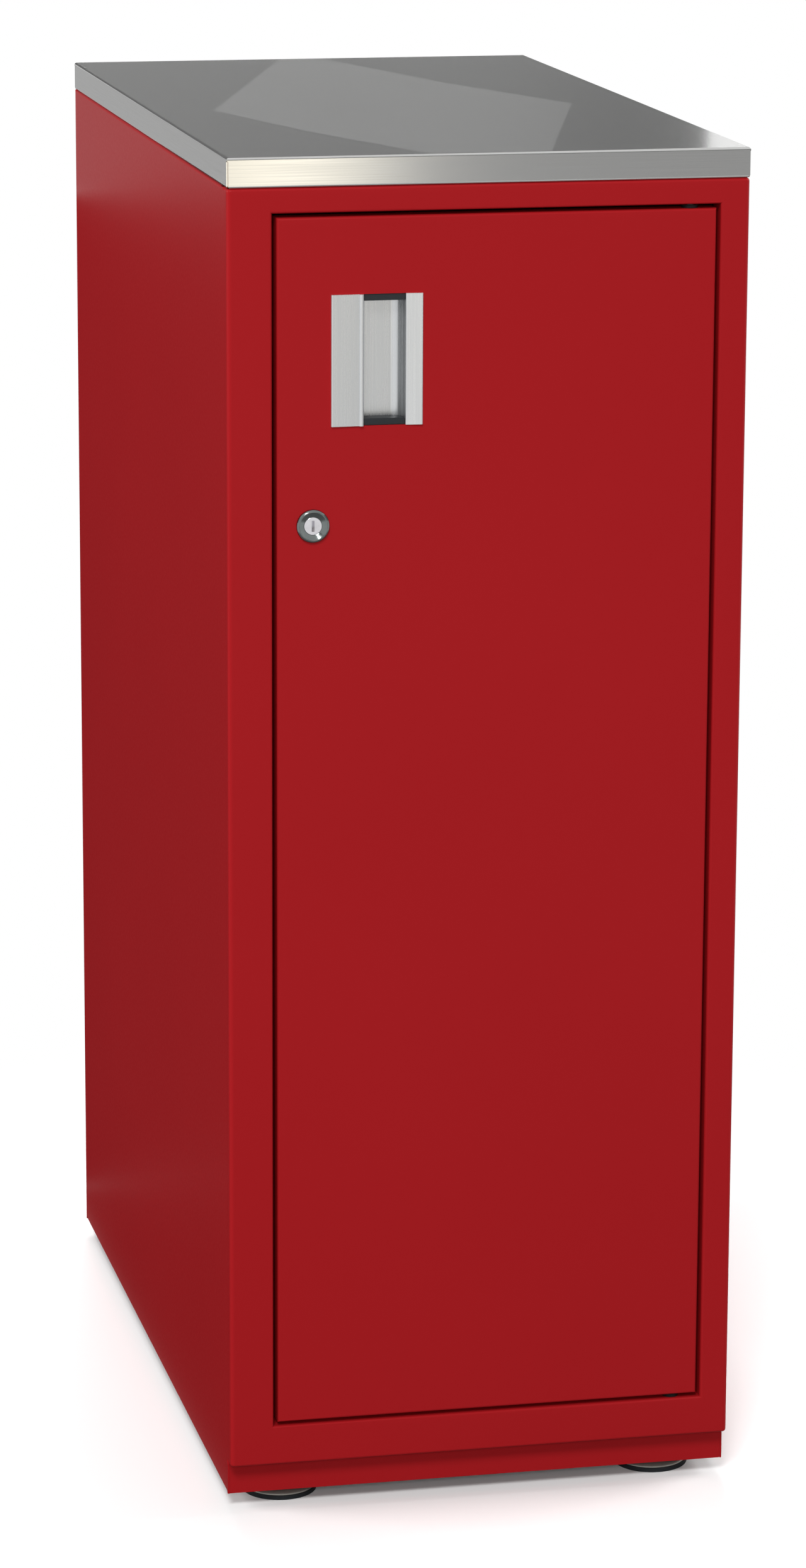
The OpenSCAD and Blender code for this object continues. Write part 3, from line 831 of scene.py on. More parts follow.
# Black and smooth, with hardly any gloss
NYLON = Moulded(
    name="nylon_moulded_satin",
    slot=Slot.NYLON,
    colour="#131313",
    other_colour="#1A1A1A",
    roughness=0.6,
    specular=0.1,
    grain=0.9 * MM,
    relief=0.02 * MM,
)
# Black and matt
RUBBER = Moulded(
    name="rubber_moulded_matt",
    slot=Slot.RUBBER,
    colour="#151515",
    other_colour="#1E1E1E",
    roughness=0.8,
    grain=0.6 * MM,
    relief=0.05 * MM,
)


def dress(piece: Piece, finish: Finish, body: str, *nodes: str) -> None:
    """Gives a finished piece its material, shading and body.

    Args:
        piece: Finished piece, with its place in its mesh.
        finish: Finish of its surface.
        body: Name of the body that it rides on.
        *nodes: Nodes of the frame that it stands for.
    """
    piece.data.materials.clear()
    piece.data.materials.append(finish.material())
    activate(piece)
    bpy.ops.object.shade_smooth_by_angle(angle=SMOOTH_ANGLE)
    finish_with(piece, "WEIGHTED_NORMAL", keep_sharp=True)
    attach(piece, body)
    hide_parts(*nodes)
    LOG.info("%s: %d faces, %s, rides on %s", piece.name, len(piece.data.polygons), finish.name, body)


def coat_node(node: str, finish: Finish) -> None:
    """Gives a node of the frame a finish and leaves its shape alone.

    Args:
        node: Name of the node.
        finish: Finish of its surface.
    """
    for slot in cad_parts[node].material_slots:
        slot.material = finish.material()
    LOG.info("%s: solid kept, %s", node, finish.name)


# Sub-assemblies

@dataclass
class WeldedShell:
    """Side panels, stiles and rails, welded and ground to one flush shell."""

    sheet: float = 1.5 * MM
    corner_radius: float = 3.5 * MM
    corner_flats: int = 6
    fold_radius: float = 2.2 * MM
    fold_flats: int = 4
    fold_angle: float = math.radians(60)
    stile_lip: float = 13 * MM
    rail_lip: float = 7 * MM
    back_flange: float = 22 * MM
    top_flange: float = 25 * MM
    base_flange: float = 22 * MM
    relief: float = 2 * MM

    def __post_init__(self) -> None:
        """Takes the shell's planes from the frame."""
        side, bottom = Extent.of("left_side_panel"), Extent.of("bottom_rail")
        self.top = Extent.of("top_rail")
        self.x = Extent.of("right_side_panel").high.x
        self.y_front, self.y_back = side.low.y, side.high.y
        self.y_kick = Extent.of("kick_plate").low.y
        self.y_flange = (
            self.y_kick + self.sheet + self.relief,
            Extent.of("back_panel").high.y - self.sheet - self.relief,
        )
        self.z_base, self.z_top = side.low.z, side.high.z
        self.z_toe = bottom.low.z
        self.opening = (
            Vector((self.top.low.x, self.y_front, bottom.high.z)),
            Vector((self.top.high.x, self.y_front, self.top.low.z)),
        )

    def on_opening(self, point: Vector) -> bool:
        """Says whether a point lies on the rim of the door opening, at any depth.

        Args:
            point: Point to test.

        Returns:
            Whether it lies on the rim.
        """
        low, high = self.opening
        in_height = low.z - NEAR < point.z < high.z + NEAR
        in_width = low.x - NEAR < point.x < high.x + NEAR
        on_side = near(point.x, low.x) or near(point.x, high.x)
        on_end = near(point.z, low.z) or near(point.z, high.z)
        return (on_side and in_height) or (on_end and in_width)

    def on_side(self, point: Vector) -> bool:
        """Says whether a point lies in the outer plane of a side panel."""
        return near(abs(point.x), self.x)

    def cut_opening(self) -> None:
        """Cuts the door opening out of the front and folds its returns and lips."""
        cut_window(*self.opening)
        pick(Element.EDGE, lambda edge: edge.is_boundary and self.on_opening(middle(edge)))
        fold_lips(*self.opening, self.top.size.y, self.stile_lip, self.rail_lip)

    def fold_sides(self) -> None:
        """Folds the side panels back from the front, down to the base and in at their back edges."""
        pick(Element.EDGE, lambda edge: all(self.on_side(vert.co) for vert in edge.verts))
        draw_out((0, self.y_back - self.y_front, 0))
        y_top = self.top.high.y + self.relief
        for y in (self.y_kick, self.top.high.y, y_top, *self.y_flange):
            cut_across(Vector((0, y, 0)), "Y", lambda face: self.on_side(face.calc_center_median()))

        def lowest(edge: Edge) -> bool:
            """Says whether an edge runs along the foot of a side, behind the toe space."""
            point = middle(edge)
            return self.on_side(point) and near(point.z, self.z_toe) and point.y > self.y_kick

        pick(Element.EDGE, lowest)
        draw_out((0, 0, self.z_base - self.z_toe))
        for way in (-1, 1):
            self.fold_flange(way, self.z_base, self.y_flange[0], self.base_flange)
            self.fold_flange(way, self.z_top, y_top, self.top_flange)

            def at_back(edge: Edge) -> bool:
                """Says whether an edge is the back edge of this side."""
                point = middle(edge)
                return near(point.x, way * self.x) and near(point.y, self.y_back)

            pick(Element.EDGE, at_back)
            draw_out((-way * self.back_flange, 0, 0))

    def fold_flange(self, way: int, z: float, y_start: float, width: float) -> None:
        """Folds a side panel's edge in at one height.

        Args:
            way: -1 for the left panel, 1 for the right one.
            z: Height of the edge.
            y_start: Where the flange starts.
            width: Width of the flange.
        """
        def wanted(edge: Edge) -> bool:
            """Says whether an edge belongs to the flange's fold."""
            point = middle(edge)
            return near(point.x, way * self.x) and near(point.z, z) and y_start < point.y < self.y_flange[1]

        pick(Element.EDGE, wanted)
        draw_out((-way * width, 0, 0))

    def fold_rails(self) -> None:
        """Folds the top and bottom edges of the front back, from side to side."""
        for z in (self.z_top, self.z_toe):
            pick(Element.EDGE, lambda edge: near(middle(edge).z, z) and near(middle(edge).y, self.y_front))
            draw_out((0, self.y_kick - self.y_front, 0))
            if z == self.z_top:
                draw_out((0, self.top.high.y - self.y_kick, 0))

    def round_folds(self) -> None:
        """Rounds the folds as a press brake leaves them."""
        def upright(edge: Edge) -> bool:
            """Says whether an edge is an outer upright corner."""
            point = middle(edge)
            at_end = near(point.y, self.y_front) or near(point.y, self.y_back)
            return self.on_side(point) and at_end and not edge.is_boundary

        def on_rim(edge: Edge) -> bool:
            """Says whether an edge lies round the opening, at the front or at the lips."""
            ends = [vert.co for vert in edge.verts]
            level = near(ends[0].y, ends[1].y) and not edge.is_boundary
            return level and all(self.on_opening(point) for point in (*ends, middle(edge)))

        def on_end(edge: Edge) -> bool:
            """Says whether an edge is a fold at the top, the toe space or the base."""
            ends = [vert.co.z for vert in edge.verts]
            level = any(near(ends[0], z) and near(ends[1], z) for z in (self.z_top, self.z_toe, self.z_base))
            return level and edge.is_manifold and edge.calc_face_angle(0) > self.fold_angle

        round_edges(upright, self.corner_radius, self.corner_flats)
        round_edges(on_rim, self.fold_radius, self.fold_flats)
        round_edges(on_end, self.fold_radius, self.fold_flats)

    def build(self) -> None:
        """Builds the shell and dresses it."""
        centre = Vector((0, self.y_front, (self.z_toe + self.z_top) / 2))
        shell = flat_sheet("welded_shell", centre, 2 * self.x, self.z_top - self.z_toe, upright=True)
        with editing(shell):
            self.cut_opening()
            self.fold_sides()
            self.fold_rails()
            tidy_faces()
            self.round_folds()
            tidy_faces()
        thicken(shell, self.sheet)
        dress(
            shell, RED_COAT, Body.CABINET.value, "left_side_panel", "right_side_panel", "lock_stile_channel",
            "hinge_stile_channel", "top_rail", "bottom_rail",
        )


@dataclass
class Worktop:
    """Stainless worktop: a brushed sheet folded down to aprons and hemmed under, with open corners."""

    sheet: float = 1.2 * MM
    fold_radius: float = 2.0 * MM
    fold_flats: int = 5
    fold_angle: float = math.radians(45)
    hem: float = 12 * MM
    corner_relief: float = 1.3 * MM
    relief_depth: float = 3 * MM

    def __post_init__(self) -> None:
        """Takes the worktop's box from the frame."""
        self.box = Extent.of("worktop_skin")

    def fold_apron(self, inward: Vector) -> None:
        """Folds one edge of the sheet down and under.

        Args:
            inward: Way from the edge to the middle of the sheet.
        """
        size = self.box.size
        edge_at = self.box.top - Vector((inward.x * size.x, inward.y * size.y, 0)) / 2
        length = size.x if inward.y else size.y
        short = length - 2 * self.corner_relief
        pick(Element.EDGE, lambda edge: (middle(edge) - edge_at).length < MM)
        draw_out((0, 0, -self.relief_depth))
        self.shorten(inward, short / length, edge_at)
        draw_out((0, 0, self.relief_depth - size.z))
        draw_out(tuple(inward * self.hem))
        self.shorten(inward, (short - 2 * self.hem) / short, edge_at)

    def shorten(self, inward: Vector, share: float, centre: Vector) -> None:
        """Draws the selected edge in at both ends.

        Args:
            inward: Way from the edge to the middle of the sheet.
            share: Share of its length that is left.
            centre: Point that it shrinks towards.
        """
        value = (share, 1, 1) if inward.y else (1, share, 1)
        bpy.ops.transform.resize(value=value, center_override=centre)

    def on_fold(self, edge: Edge) -> bool:
        """Says whether an edge is a fold of the sheet."""
        return edge.is_manifold and edge.calc_face_angle(0) > self.fold_angle

    def lay_grain(self, piece: Piece) -> None:
        """Maps the grain: U runs across it and V along it, in metres.

        Args:
            piece: Worktop whose faces take the map.
        """
        mesh = piece.data
        grain = mesh.uv_layers.new(name=STAINLESS.uv_map)
        for face in mesh.polygons:
            tilt = [abs(share) for share in face.normal]
            for corner in face.loop_indices:
                point = mesh.vertices[mesh.loops[corner].vertex_index].co
                if tilt[2] >= max(tilt[0], tilt[1]):
                    grain.data[corner].uv = (point.y, point.x)
                elif tilt[1] >= tilt[0]:
                    grain.data[corner].uv = (point.z, point.x)
                else:
                    grain.data[corner].uv = (point.z, point.y)

    def build(self) -> None:
        """Builds the worktop and dresses it and its core."""
        size = self.box.size
        skin = flat_sheet("worktop_skin_folded", self.box.top, size.x, size.y, upright=False)
        with editing(skin):
            for inward in ((0, 1, 0), (0, -1, 0), (1, 0, 0), (-1, 0, 0)):
                self.fold_apron(Vector(inward))
            round_edges(self.on_fold, self.fold_radius, self.fold_flats)
            bpy.ops.mesh.select_all(action="SELECT")
            bpy.ops.mesh.normals_make_consistent(inside=False)
        thicken(skin, self.sheet)
        self.lay_grain(skin)
        dress(skin, STAINLESS, Body.CABINET.value, "worktop_skin")
        coat_node("worktop_core", BOARD)


@dataclass
class Door:
    """Door pan: a flush front with folded edges and lips, cut out for the pull and the lock."""

    sheet: float = 1.2 * MM
    fold_radius: float = 2.0 * MM
    fold_flats: int = 5
    lip: float = 13 * MM
    pull_lap_left: float = 10.1 * MM
    pull_lap_right: float = 10.6 * MM
    barrel_radius: float = 9.6 * MM
    barrel_flats: int = 48
    cutter_length: float = 7.2 * MM

    def __post_init__(self) -> None:
        """Takes the door's box, the pull and the lock from the frame."""
        self.box = Extent.of("door_skin")
        self.pull = Extent.of("handle_pull")
        self.lock = Extent.of("lock_housing")

    def cut_out_pull(self) -> None:
        """Cuts the hole that the pull's pocket passes through."""
        low, high = self.pull.low, self.pull.high
        cut_window(
            Vector((low.x + self.pull_lap_left, self.box.low.y, low.z)),
            Vector((high.x - self.pull_lap_right, self.box.low.y, high.z)),
        )

    def on_outline(self, point: Vector) -> bool:
        """Says whether a point lies on the door's outline, at any depth."""
        low, high = self.box.low, self.box.high
        return near(point.x, low.x) or near(point.x, high.x) or near(point.z, low.z) or near(point.z, high.z)

    def on_fold(self, edge: Edge) -> bool:
        """Says whether an edge is a fold along the door's outline."""
        level = near(edge.verts[0].co.y, edge.verts[1].co.y)
        return level and self.on_outline(middle(edge)) and not edge.is_boundary

    def cut_lock_hole(self, skin: Piece) -> None:
        """Bores the hole for the lock's barrel.

        Args:
            skin: Door skin with its thickness.
        """
        centre = Vector((self.lock.centre.x, self.box.low.y, self.lock.centre.z))
        cutter = cylinder(
            "lock_hole", centre, self.barrel_radius, self.cutter_length, self.barrel_flats, FACING_FRONT
        )
        finish_with(skin, "BOOLEAN", operation="DIFFERENCE", object=cutter, solver="EXACT")
        bpy.data.objects.remove(cutter)

    def build(self) -> None:
        """Builds the door skin and dresses it."""
        size = self.box.size
        skin = flat_sheet("door_skin_folded", self.box.front, size.x, size.z, upright=True)
        with editing(skin):
            self.cut_out_pull()
            pick(Element.EDGE, lambda edge: edge.is_boundary and self.on_outline(middle(edge)))
            fold_lips(self.box.low, self.box.high, size.y, -self.lip, -self.lip)
            tidy_faces()
            round_edges(self.on_fold, self.fold_radius, self.fold_flats)
            tidy_faces()
        thicken(skin, self.sheet)
        self.cut_lock_hole(skin)
        dress(skin, RED_COAT, Body.DOOR.value, "door_skin")


@dataclass
class Pull:
    """Recessed pull: an aluminium extrusion with a grip, a finger pocket and a far flange."""

    grip: float = 24 * MM
    pocket: float = 30 * MM
    undercut: float = 12 * MM
    wall: float = 1.8 * MM
    depth: float = 13 * MM
    proud: float = 2 * MM
    pocket_radius: float = 8 * MM
    bead_width: float = 3.8 * MM
    bead_height: float = 0.7 * MM
    grip_slope: float = 0.6 * MM
    floor_slope: float = 0.8 * MM
    flange_slope: float = 1.0 * MM
    edge_radius: float = 0.9 * MM
    end_break: float = 0.4 * MM
    cap_break: float = 0.4 * MM

    def __post_init__(self) -> None:
        """Takes the pull's box and the door's face from the frame."""
        self.box = Extent.of("handle_pull")
        self.y_face = Extent.of("door_skin").low.y

    def outline(self) -> Profile:
        """Gives the section's outline: x from the lock edge, y into the door from its face.

        Returns:
            Points in order, with the first point again at the end.
        """
        width = self.box.size.x
        inner, end = self.grip - self.undercut, self.grip + self.pocket
        edge, wall, proud, round_in = self.edge_radius, self.wall, self.proud, self.pocket_radius
        bead_start, bead_r = self.grip - self.bead_width, self.bead_width / 2
        bead = [
            (bead_start + bead_r * (1 - math.cos(a)), -proud - self.bead_height * math.sin(a))
            for a in map(math.radians, range(15, 121, 15))
        ]
        return [
            (0, 0),
            *arc((edge, -proud + edge), edge, 180, 270, 4),
            (bead_start, -proud + self.grip_slope),
            *bead,
            *arc((self.grip - proud, 0), proud, -35, 180, 10),
            (inner, 0),
            (inner, self.depth),
            *arc((end - round_in, self.depth + self.floor_slope - round_in), round_in, 90, 0, 8),
            *arc((end + edge, -proud + self.flange_slope + edge), edge, 180, 265, 4),
            *arc((width - edge, -proud + edge), edge, 265, 360, 4),
            (width, 0),
            (end + wall, 0),
            (end + wall, self.depth + wall),
            (inner - wall, self.depth + wall),
            (inner - wall, 0),
            (0, 0),
        ]

    def on_end(self, edge: Edge) -> bool:
        """Says whether an edge is an outer edge of an end, in front of the door."""
        ends = [vert.co for vert in edge.verts]
        return near(ends[0].z, ends[1].z) and max(end.y for end in ends) < self.y_face - self.proud / 2

    def build(self) -> None:
        """Builds the pull and dresses it and its end caps."""
        corner = Vector((self.box.low.x, self.y_face, self.box.low.z))
        pull = drawn_line("pull_extruded", [corner + Vector((x, y, 0)) for x, y in self.outline()])
        with editing(pull):
            tidy_faces()
            bpy.ops.mesh.edge_face_add()
            pick(Element.FACE)
            draw_out((0, 0, self.box.size.z))
            tidy_faces()
            round_edges(self.on_end, self.end_break, 2)
        dress(pull, ALUMINIUM, Body.DOOR.value, "handle_pull")
        caps = softened("handle_end_caps", self.cap_break)
        dress(caps, PLASTIC, Body.DOOR.value, "handle_end_caps")


@dataclass
class CamLock:
    """Cam lock: a dished chrome bezel on its barrel, and a turning plug with a keyway."""

    bezel: float = 12 * MM
    barrel: float = 9.5 * MM
    bore: float = 6.56 * MM
    crest: float = 10.3 * MM
    crest_radius: float = 0.9 * MM
    rim_radius: float = 1.2 * MM
    rim_wall: float = 0.25
    rim_round: float = 0.45
    dish: float = 1.1 * MM
    dish_rise: float = 0.25 * MM
    land: float = 0.5 * MM
    bore_chamfer: float = 0.3 * MM
    plug: float = 6.5 * MM
    keyway: Point = (2 * MM, 8 * MM, 9 * MM)
    plug_chamfer: float = 0.45 * MM
    flats: int = 96
    facing: float = -0.9

    def __post_init__(self) -> None:
        """Takes the lock's places from the frame."""
        self.housing = Extent.of("lock_housing")
        self.y_plug = Extent.of("lock_plug").low.y
        self.y_face = Extent.of("door_skin").low.y
        self.axis = Vector((self.housing.centre.x, 0, self.housing.centre.z))

    def build_housing(self) -> None:
        """Turns the bezel and barrel. The rim's heights are shares of how far it stands proud."""
        proud = self.y_face - self.housing.low.y
        y_rim, y_crest = self.y_face - self.rim_round * proud, self.housing.low.y + self.crest_radius
        profile = [
            (self.barrel, self.y_face),
            (self.bezel, self.y_face),
            (self.bezel, self.y_face - self.rim_wall * proud),
            *arc((self.bezel - self.rim_radius, y_rim), self.rim_radius, 0, -60, 5),
            *arc((self.crest, y_crest), self.crest_radius, -60, -130, 5),
            (self.bore + self.dish, self.y_plug - self.dish_rise),
            (self.bore + self.land, self.y_plug),
            (self.bore, self.y_plug + self.bore_chamfer),
            (self.bore, self.housing.high.y),
            (self.barrel, self.housing.high.y),
            (self.barrel, self.y_face),
        ]
        housing = turned("lock_housing_turned", profile, self.axis, "Y", self.flats)
        # The bezel's colour is painted shade, darkened to stand in for dark surroundings in its reflection
        dress(housing, CHROME_WITH_PAINTED_SHADE, Body.DOOR.value, "lock_housing")

    def on_face(self, face: Face) -> bool:
        """Says whether a face belongs to the plug's front."""
        return near(face.calc_center_median().y, self.y_plug) and face.normal.y < self.facing

    def in_keyway(self, face: Face) -> bool:
        """Says whether a face closes the keyway."""
        place = face.calc_center_median() - self.axis
        return self.on_face(face) and abs(place.x) < self.keyway[0] / 2 and abs(place.z) < self.keyway[1] / 2

    def build_plug(self) -> None:
        """Shapes the plug, which reaches to the back of the cam, and sinks its keyway."""
        length = Extent.of("lock_cam").high.y - self.y_plug
        centre = self.axis + Vector((0, self.y_plug + length / 2, 0))
        plug = cylinder("lock_plug_turned", centre, self.plug, length, self.flats, FACING_FRONT)
        width, height, depth = self.keyway
        with editing(plug):
            round_edges(
                lambda edge: all(near(vert.co.y, self.y_plug) for vert in edge.verts), self.plug_chamfer, 3
            )
            for side in (-1, 1):
                cut_across(self.axis + Vector((side * width / 2, 0, 0)), "X", self.on_face)
                cut_across(self.axis + Vector((0, 0, side * height / 2)), "Z", self.on_face)
            pick(Element.FACE, self.in_keyway)
            draw_out((0, depth, 0))
            tidy_faces()
        dress(plug, CHROME, Body.LOCK.value, "lock_plug")

    def build(self) -> None:
        """Builds the lock's visible pieces."""
        self.build_housing()
        self.build_plug()


@dataclass
class LevellingFeet:
    """Four feet: a pressed cup in a glide pad, turned up and down by a threaded stud with a hexagon."""

    neck: float = 9 * MM
    socket: float = 5.06 * MM
    socket_depth: float = 4 * MM
    pad_edge: float = 0.9 * MM
    pad_rim_edge: float = 0.4 * MM
    seat_play: float = 0.06 * MM
    foot_flats: int = 72
    hexagon: float = 8 * MM
    hexagon_edge: float = 0.5 * MM
    hexagon_play: float = 0.3 * MM
    stud: float = 5 * MM
    stud_flats: int = 48
    pitch: float = 1.5 * MM
    crest: tuple[float, float] = (0.4, 0.6)
    thread_depth: float = 0.8 * MM
    thread_steps: int = 24
    core_overlap: float = 0.05 * MM

    def __post_init__(self) -> None:
        """Takes the first foot's boxes from the frame."""
        first = Corner.FRONT_LEFT.value
        self.cup = Extent.of(f"{first}_foot_cup")
        self.glide = Extent.of(f"{first}_foot_glide")
        self.rod = Extent.of(f"{first}_foot_stud")
        self.axis = Vector((self.cup.centre.x, self.cup.centre.y, 0))
        self.z_socket = self.cup.high.z - self.socket_depth

    def make_cup(self) -> Piece:
        """Turns the domed cup.

        Returns:
            The cup of the first foot.
        """
        radius, seat, top = self.cup.size.x / 2, self.cup.low.z, self.cup.high.z
        foot = self.glide.high.z
        quarter = arc((0, 0), 1, 0, 90, 18)
        profile = [
            (0, seat),
            (radius, seat),
            *((self.neck + (radius - self.neck) * out, foot + (top - foot) * up) for out, up in quarter),
            (self.socket, top),
            (self.socket, self.z_socket),
            (0, self.z_socket),
        ]
        return turned("foot_cup", profile, self.axis, "Z", self.foot_flats)

    def make_glide(self) -> Piece:
        """Turns the glide pad, whose raised rim holds the cup.

        Returns:
            The glide of the first foot.
        """
        radius, top, seat = self.glide.size.x / 2, self.glide.high.z, self.cup.low.z
        inner = self.cup.size.x / 2 + self.seat_play
        profile = [
            (0, 0),
            *arc((radius - self.pad_edge, self.pad_edge), self.pad_edge, -90, 0, 5),
            *arc((radius - self.pad_rim_edge, top - self.pad_rim_edge), self.pad_rim_edge, 0, 90, 4),
            (inner, top),
            (inner, seat),
            (0, seat),
        ]
        return turned("foot_glide", profile, self.axis, "Z", self.foot_flats)

    def make_thread(self, low: float, high: float) -> Piece:
        """Winds the stud's thread round its core and closes the thread's ends.

        Args:
            low: Height where the thread starts.
            high: Height where it ends.

        Returns:
            The threaded rod of the first foot.
        """
        root = self.stud - self.thread_depth
        rise, fall = (share * self.pitch for share in self.crest)
        ridge = [(root, 0), (self.stud, rise), (self.stud, fall), (root, self.pitch)]
        thread = drawn_line("foot_thread", [Vector((radius, 0, low + z)) for radius, z in ridge])
        finish_with(
            thread, "SCREW", axis="Z", angle=2 * math.pi, screw_offset=self.pitch,
            iterations=int((high - low) / self.pitch) - 1, steps=self.thread_steps,
            render_steps=self.thread_steps, use_merge_vertices=True, merge_threshold=MERGE,
        )
        inside = root + self.core_overlap
        profile = [(0, low), (inside, low), (inside, high), (0, high)]
        core = turned("foot_core", profile, Vector(), "Z", self.thread_steps)
        rod = joined([core, thread], "foot_rod")
        with editing(rod):
            bpy.ops.mesh.select_all(action="SELECT")
            bpy.ops.mesh.fill_holes(sides=0)
            tidy_faces()
        rod.data.transform(Matrix.Translation(self.axis))
        return rod

    def make_stud(self) -> Piece:
        """Shapes the hexagon and adds the threaded rod.

        Returns:
            The stud of the first foot.
        """
        low, high = self.cup.high.z, Extent.of("corner_gussets").low.z - self.hexagon_play
        centre = self.axis + Vector((0, 0, (low + high) / 2))
        nut = cylinder("foot_hexagon", centre, self.hexagon, high - low, 6, LYING_FLAT)
        with editing(nut):
            round_edges(lambda edge: near(edge.verts[0].co.z, edge.verts[1].co.z), self.hexagon_edge, 2)
        profile = [(0, self.z_socket), (self.stud, self.z_socket), (self.stud, low), (0, low)]
        shank = turned("foot_shank", profile, self.axis, "Z", self.stud_flats)
        return joined([nut, shank, self.make_thread(high, self.rod.high.z)], "foot_stud")

    def build(self) -> None:
        """Builds one foot, copies it to the other corners and dresses all four."""
        models = {
            "cup": (self.make_cup(), NICKEL),
            "glide": (self.make_glide(), PLASTIC),
            "stud": (self.make_stud(), ZINC),
        }
        for corner in Corner:
            place = Extent.of(f"{corner.value}_foot_cup").centre
            by = Vector((place.x, place.y, 0)) - self.axis
            for part, (model, finish) in models.items():
                body = f"{corner.value}_stud" if part == "stud" else f"{corner.value}_foot"
                piece = copied(model, f"{corner.value}_foot_{part}_shaped", by)
                dress(piece, finish, body, f"{corner.value}_foot_{part}")
        for model, _ in models.values():
            bpy.data.objects.remove(model)


@dataclass
class Shelving:
    """Folded trays inside the cabinet: the floor panel and two shelves."""

    fold_radius: float = 2.2 * MM
    fold_flats: int = 4
    floor_sheet: float = 1.5 * MM
    shelf_sheet: float = 1.2 * MM

    def tray(self, node: str, sheet: float) -> None:
        """Folds a tray with its edges down and dresses it.

        Args:
            node: Node that the tray stands for.
            sheet: Thickness of its sheet.
        """
        box = Extent.of(node)
        tray = flat_sheet(f"{node}_folded", box.top, box.size.x, box.size.y, upright=False)
        with editing(tray):
            pick(Element.EDGE, lambda edge: edge.is_boundary)
            draw_out((0, 0, -box.size.z))
            tidy_faces()
            round_edges(lambda edge: not edge.is_boundary, self.fold_radius, self.fold_flats)
            tidy_faces()
        thicken(tray, sheet)
        dress(tray, RED_COAT, Body.CABINET.value, node)

    def build(self) -> None:
        """Builds the floor and the shelves."""
        self.tray("floor_panel", self.floor_sheet)
        self.tray("lower_shelf", self.shelf_sheet)
        self.tray("upper_shelf", self.shelf_sheet)


@dataclass
class Fittings:
    """Small pressings, fasteners and stops, with their sharp edges broken."""

    sheet_break: float = 0.35 * MM
    fine_break: float = 0.25 * MM

    def build(self) -> None:
        """Dresses every fitting."""
        plates = ("back_panel", "kick_plate", "corner_gussets", "shelf_standards", "door_stop_tabs")
        fasteners = (
            "foot_weld_nuts", "back_rivets", "shelf_clips", "worktop_screws", "top_pivot_bracket",
            "bottom_pivot_bracket", "top_pivot_pin", "bottom_pivot_pin",
        )
        for finish, width, body, nodes in (
            (RED_COAT, self.sheet_break, Body.CABINET, plates),
            (RED_COAT, self.sheet_break, Body.DOOR, ("door_stiffener",)),
            (ZINC, self.fine_break, Body.CABINET, fasteners),
            (ZINC, self.fine_break, Body.DOOR, ("handle_clamps", "handle_screws", "lock_nut")),
            (ZINC, self.fine_break, Body.LOCK, ("lock_cam", "cam_screw")),
            (RUBBER, self.sheet_break, Body.CABINET, ("door_bumpers",)),
            (PLASTIC, self.sheet_break, Body.CABINET, ("latch_magnet",)),
            (NYLON, self.fine_break, Body.DOOR, ("top_pivot_bush", "bottom_pivot_bush")),
        ):
            for node in nodes:
                dress(softened(node, width), finish, body.value, node)


# Studio and camera

class Stand(Enum):
    """Ways that a reflection card stands: across the room, along it or on the floor."""

    ACROSS = "X and Z"
    ALONG = "Y and Z"
    LYING = "X and Y"


@dataclass(frozen=True)
class SoftLight:
    """Square soft box, aimed at the middle of the cabinet."""

    name: str
    place: Point
    size: float
    power: float
    reflected: bool = True
    target: Point = (0.0, 0.0, 0.5)

    def add(self) -> None:
        """Adds the lamp to the scene."""
        lamp = bpy.data.lights.new(self.name, "AREA")
        lamp.shape = "SQUARE"
        lamp.size = self.size
        lamp.energy = self.power
        light = bpy.data.objects.new(self.name, lamp)
        light.location = self.place
        light.visible_glossy = self.reflected
        way = Vector(self.target) - Vector(self.place)
        light.rotation_euler = way.to_track_quat("-Z", "Y").to_euler()
        bpy.context.scene.collection.objects.link(light)


@dataclass(frozen=True)
class Card:
    """Card that only reflections see, with tones along the first axis of its stand."""

    name: str
    low: tuple[float, float]
    high: tuple[float, float]
    at: float
    tones: tuple[tuple[float, str], ...]
    strength: float = 1.0
    stand: Stand = Stand.ACROSS

    def add(self) -> None:
        """Adds the card to the stage."""
        (u0, v0), (u1, v1) = self.low, self.high
        u, v = (u0 + u1) / 2, (v0 + v1) / 2
        card = flat_sheet(self.name, Vector(), u1 - u0, v1 - v0, upright=self.stand is not Stand.LYING)
        if self.stand is Stand.ALONG:
            card.data.transform(Matrix.Rotation(math.pi / 2, 4, "Z"))
        places = {Stand.ACROSS: (u, self.at, v), Stand.ALONG: (self.at, u, v), Stand.LYING: (u, v, self.at)}
        card.data.transform(Matrix.Translation(places[self.stand]))
        for ray in ("camera", "diffuse", "shadow", "transmission"):
            setattr(card, f"visible_{ray}", False)
        material = bpy.data.materials.new(self.name)
        tree = emptied(material)
        place = add_node(tree, "ShaderNodeTexCoord").outputs["Object"]
        along = add_node(tree, "ShaderNodeSeparateXYZ", {"Vector": place}).outputs[self.stand.value[0]]
        share = add_node(tree, "ShaderNodeMapRange", {"Value": along, "From Min": u0, "From Max": u1})
        ramp = add_node(tree, "ShaderNodeValToRGB", {"Fac": share.outputs["Result"]})
        stops = ramp.color_ramp.elements
        while len(stops) < len(self.tones):
            stops.new(1.0)
        for stop, (where, tone) in zip(stops, self.tones):
            stop.position = (where - u0) / (u1 - u0)
            stop.color = linear(tone)
        light = {"Color": ramp.outputs["Color"], "Strength": self.strength}
        glow = add_node(tree, "ShaderNodeEmission", light)
        add_node(tree, "ShaderNodeOutputMaterial", {"Surface": glow.outputs["Emission"]})
        card.data.materials.append(material)
        LOG.info("%s: stage", self.name)


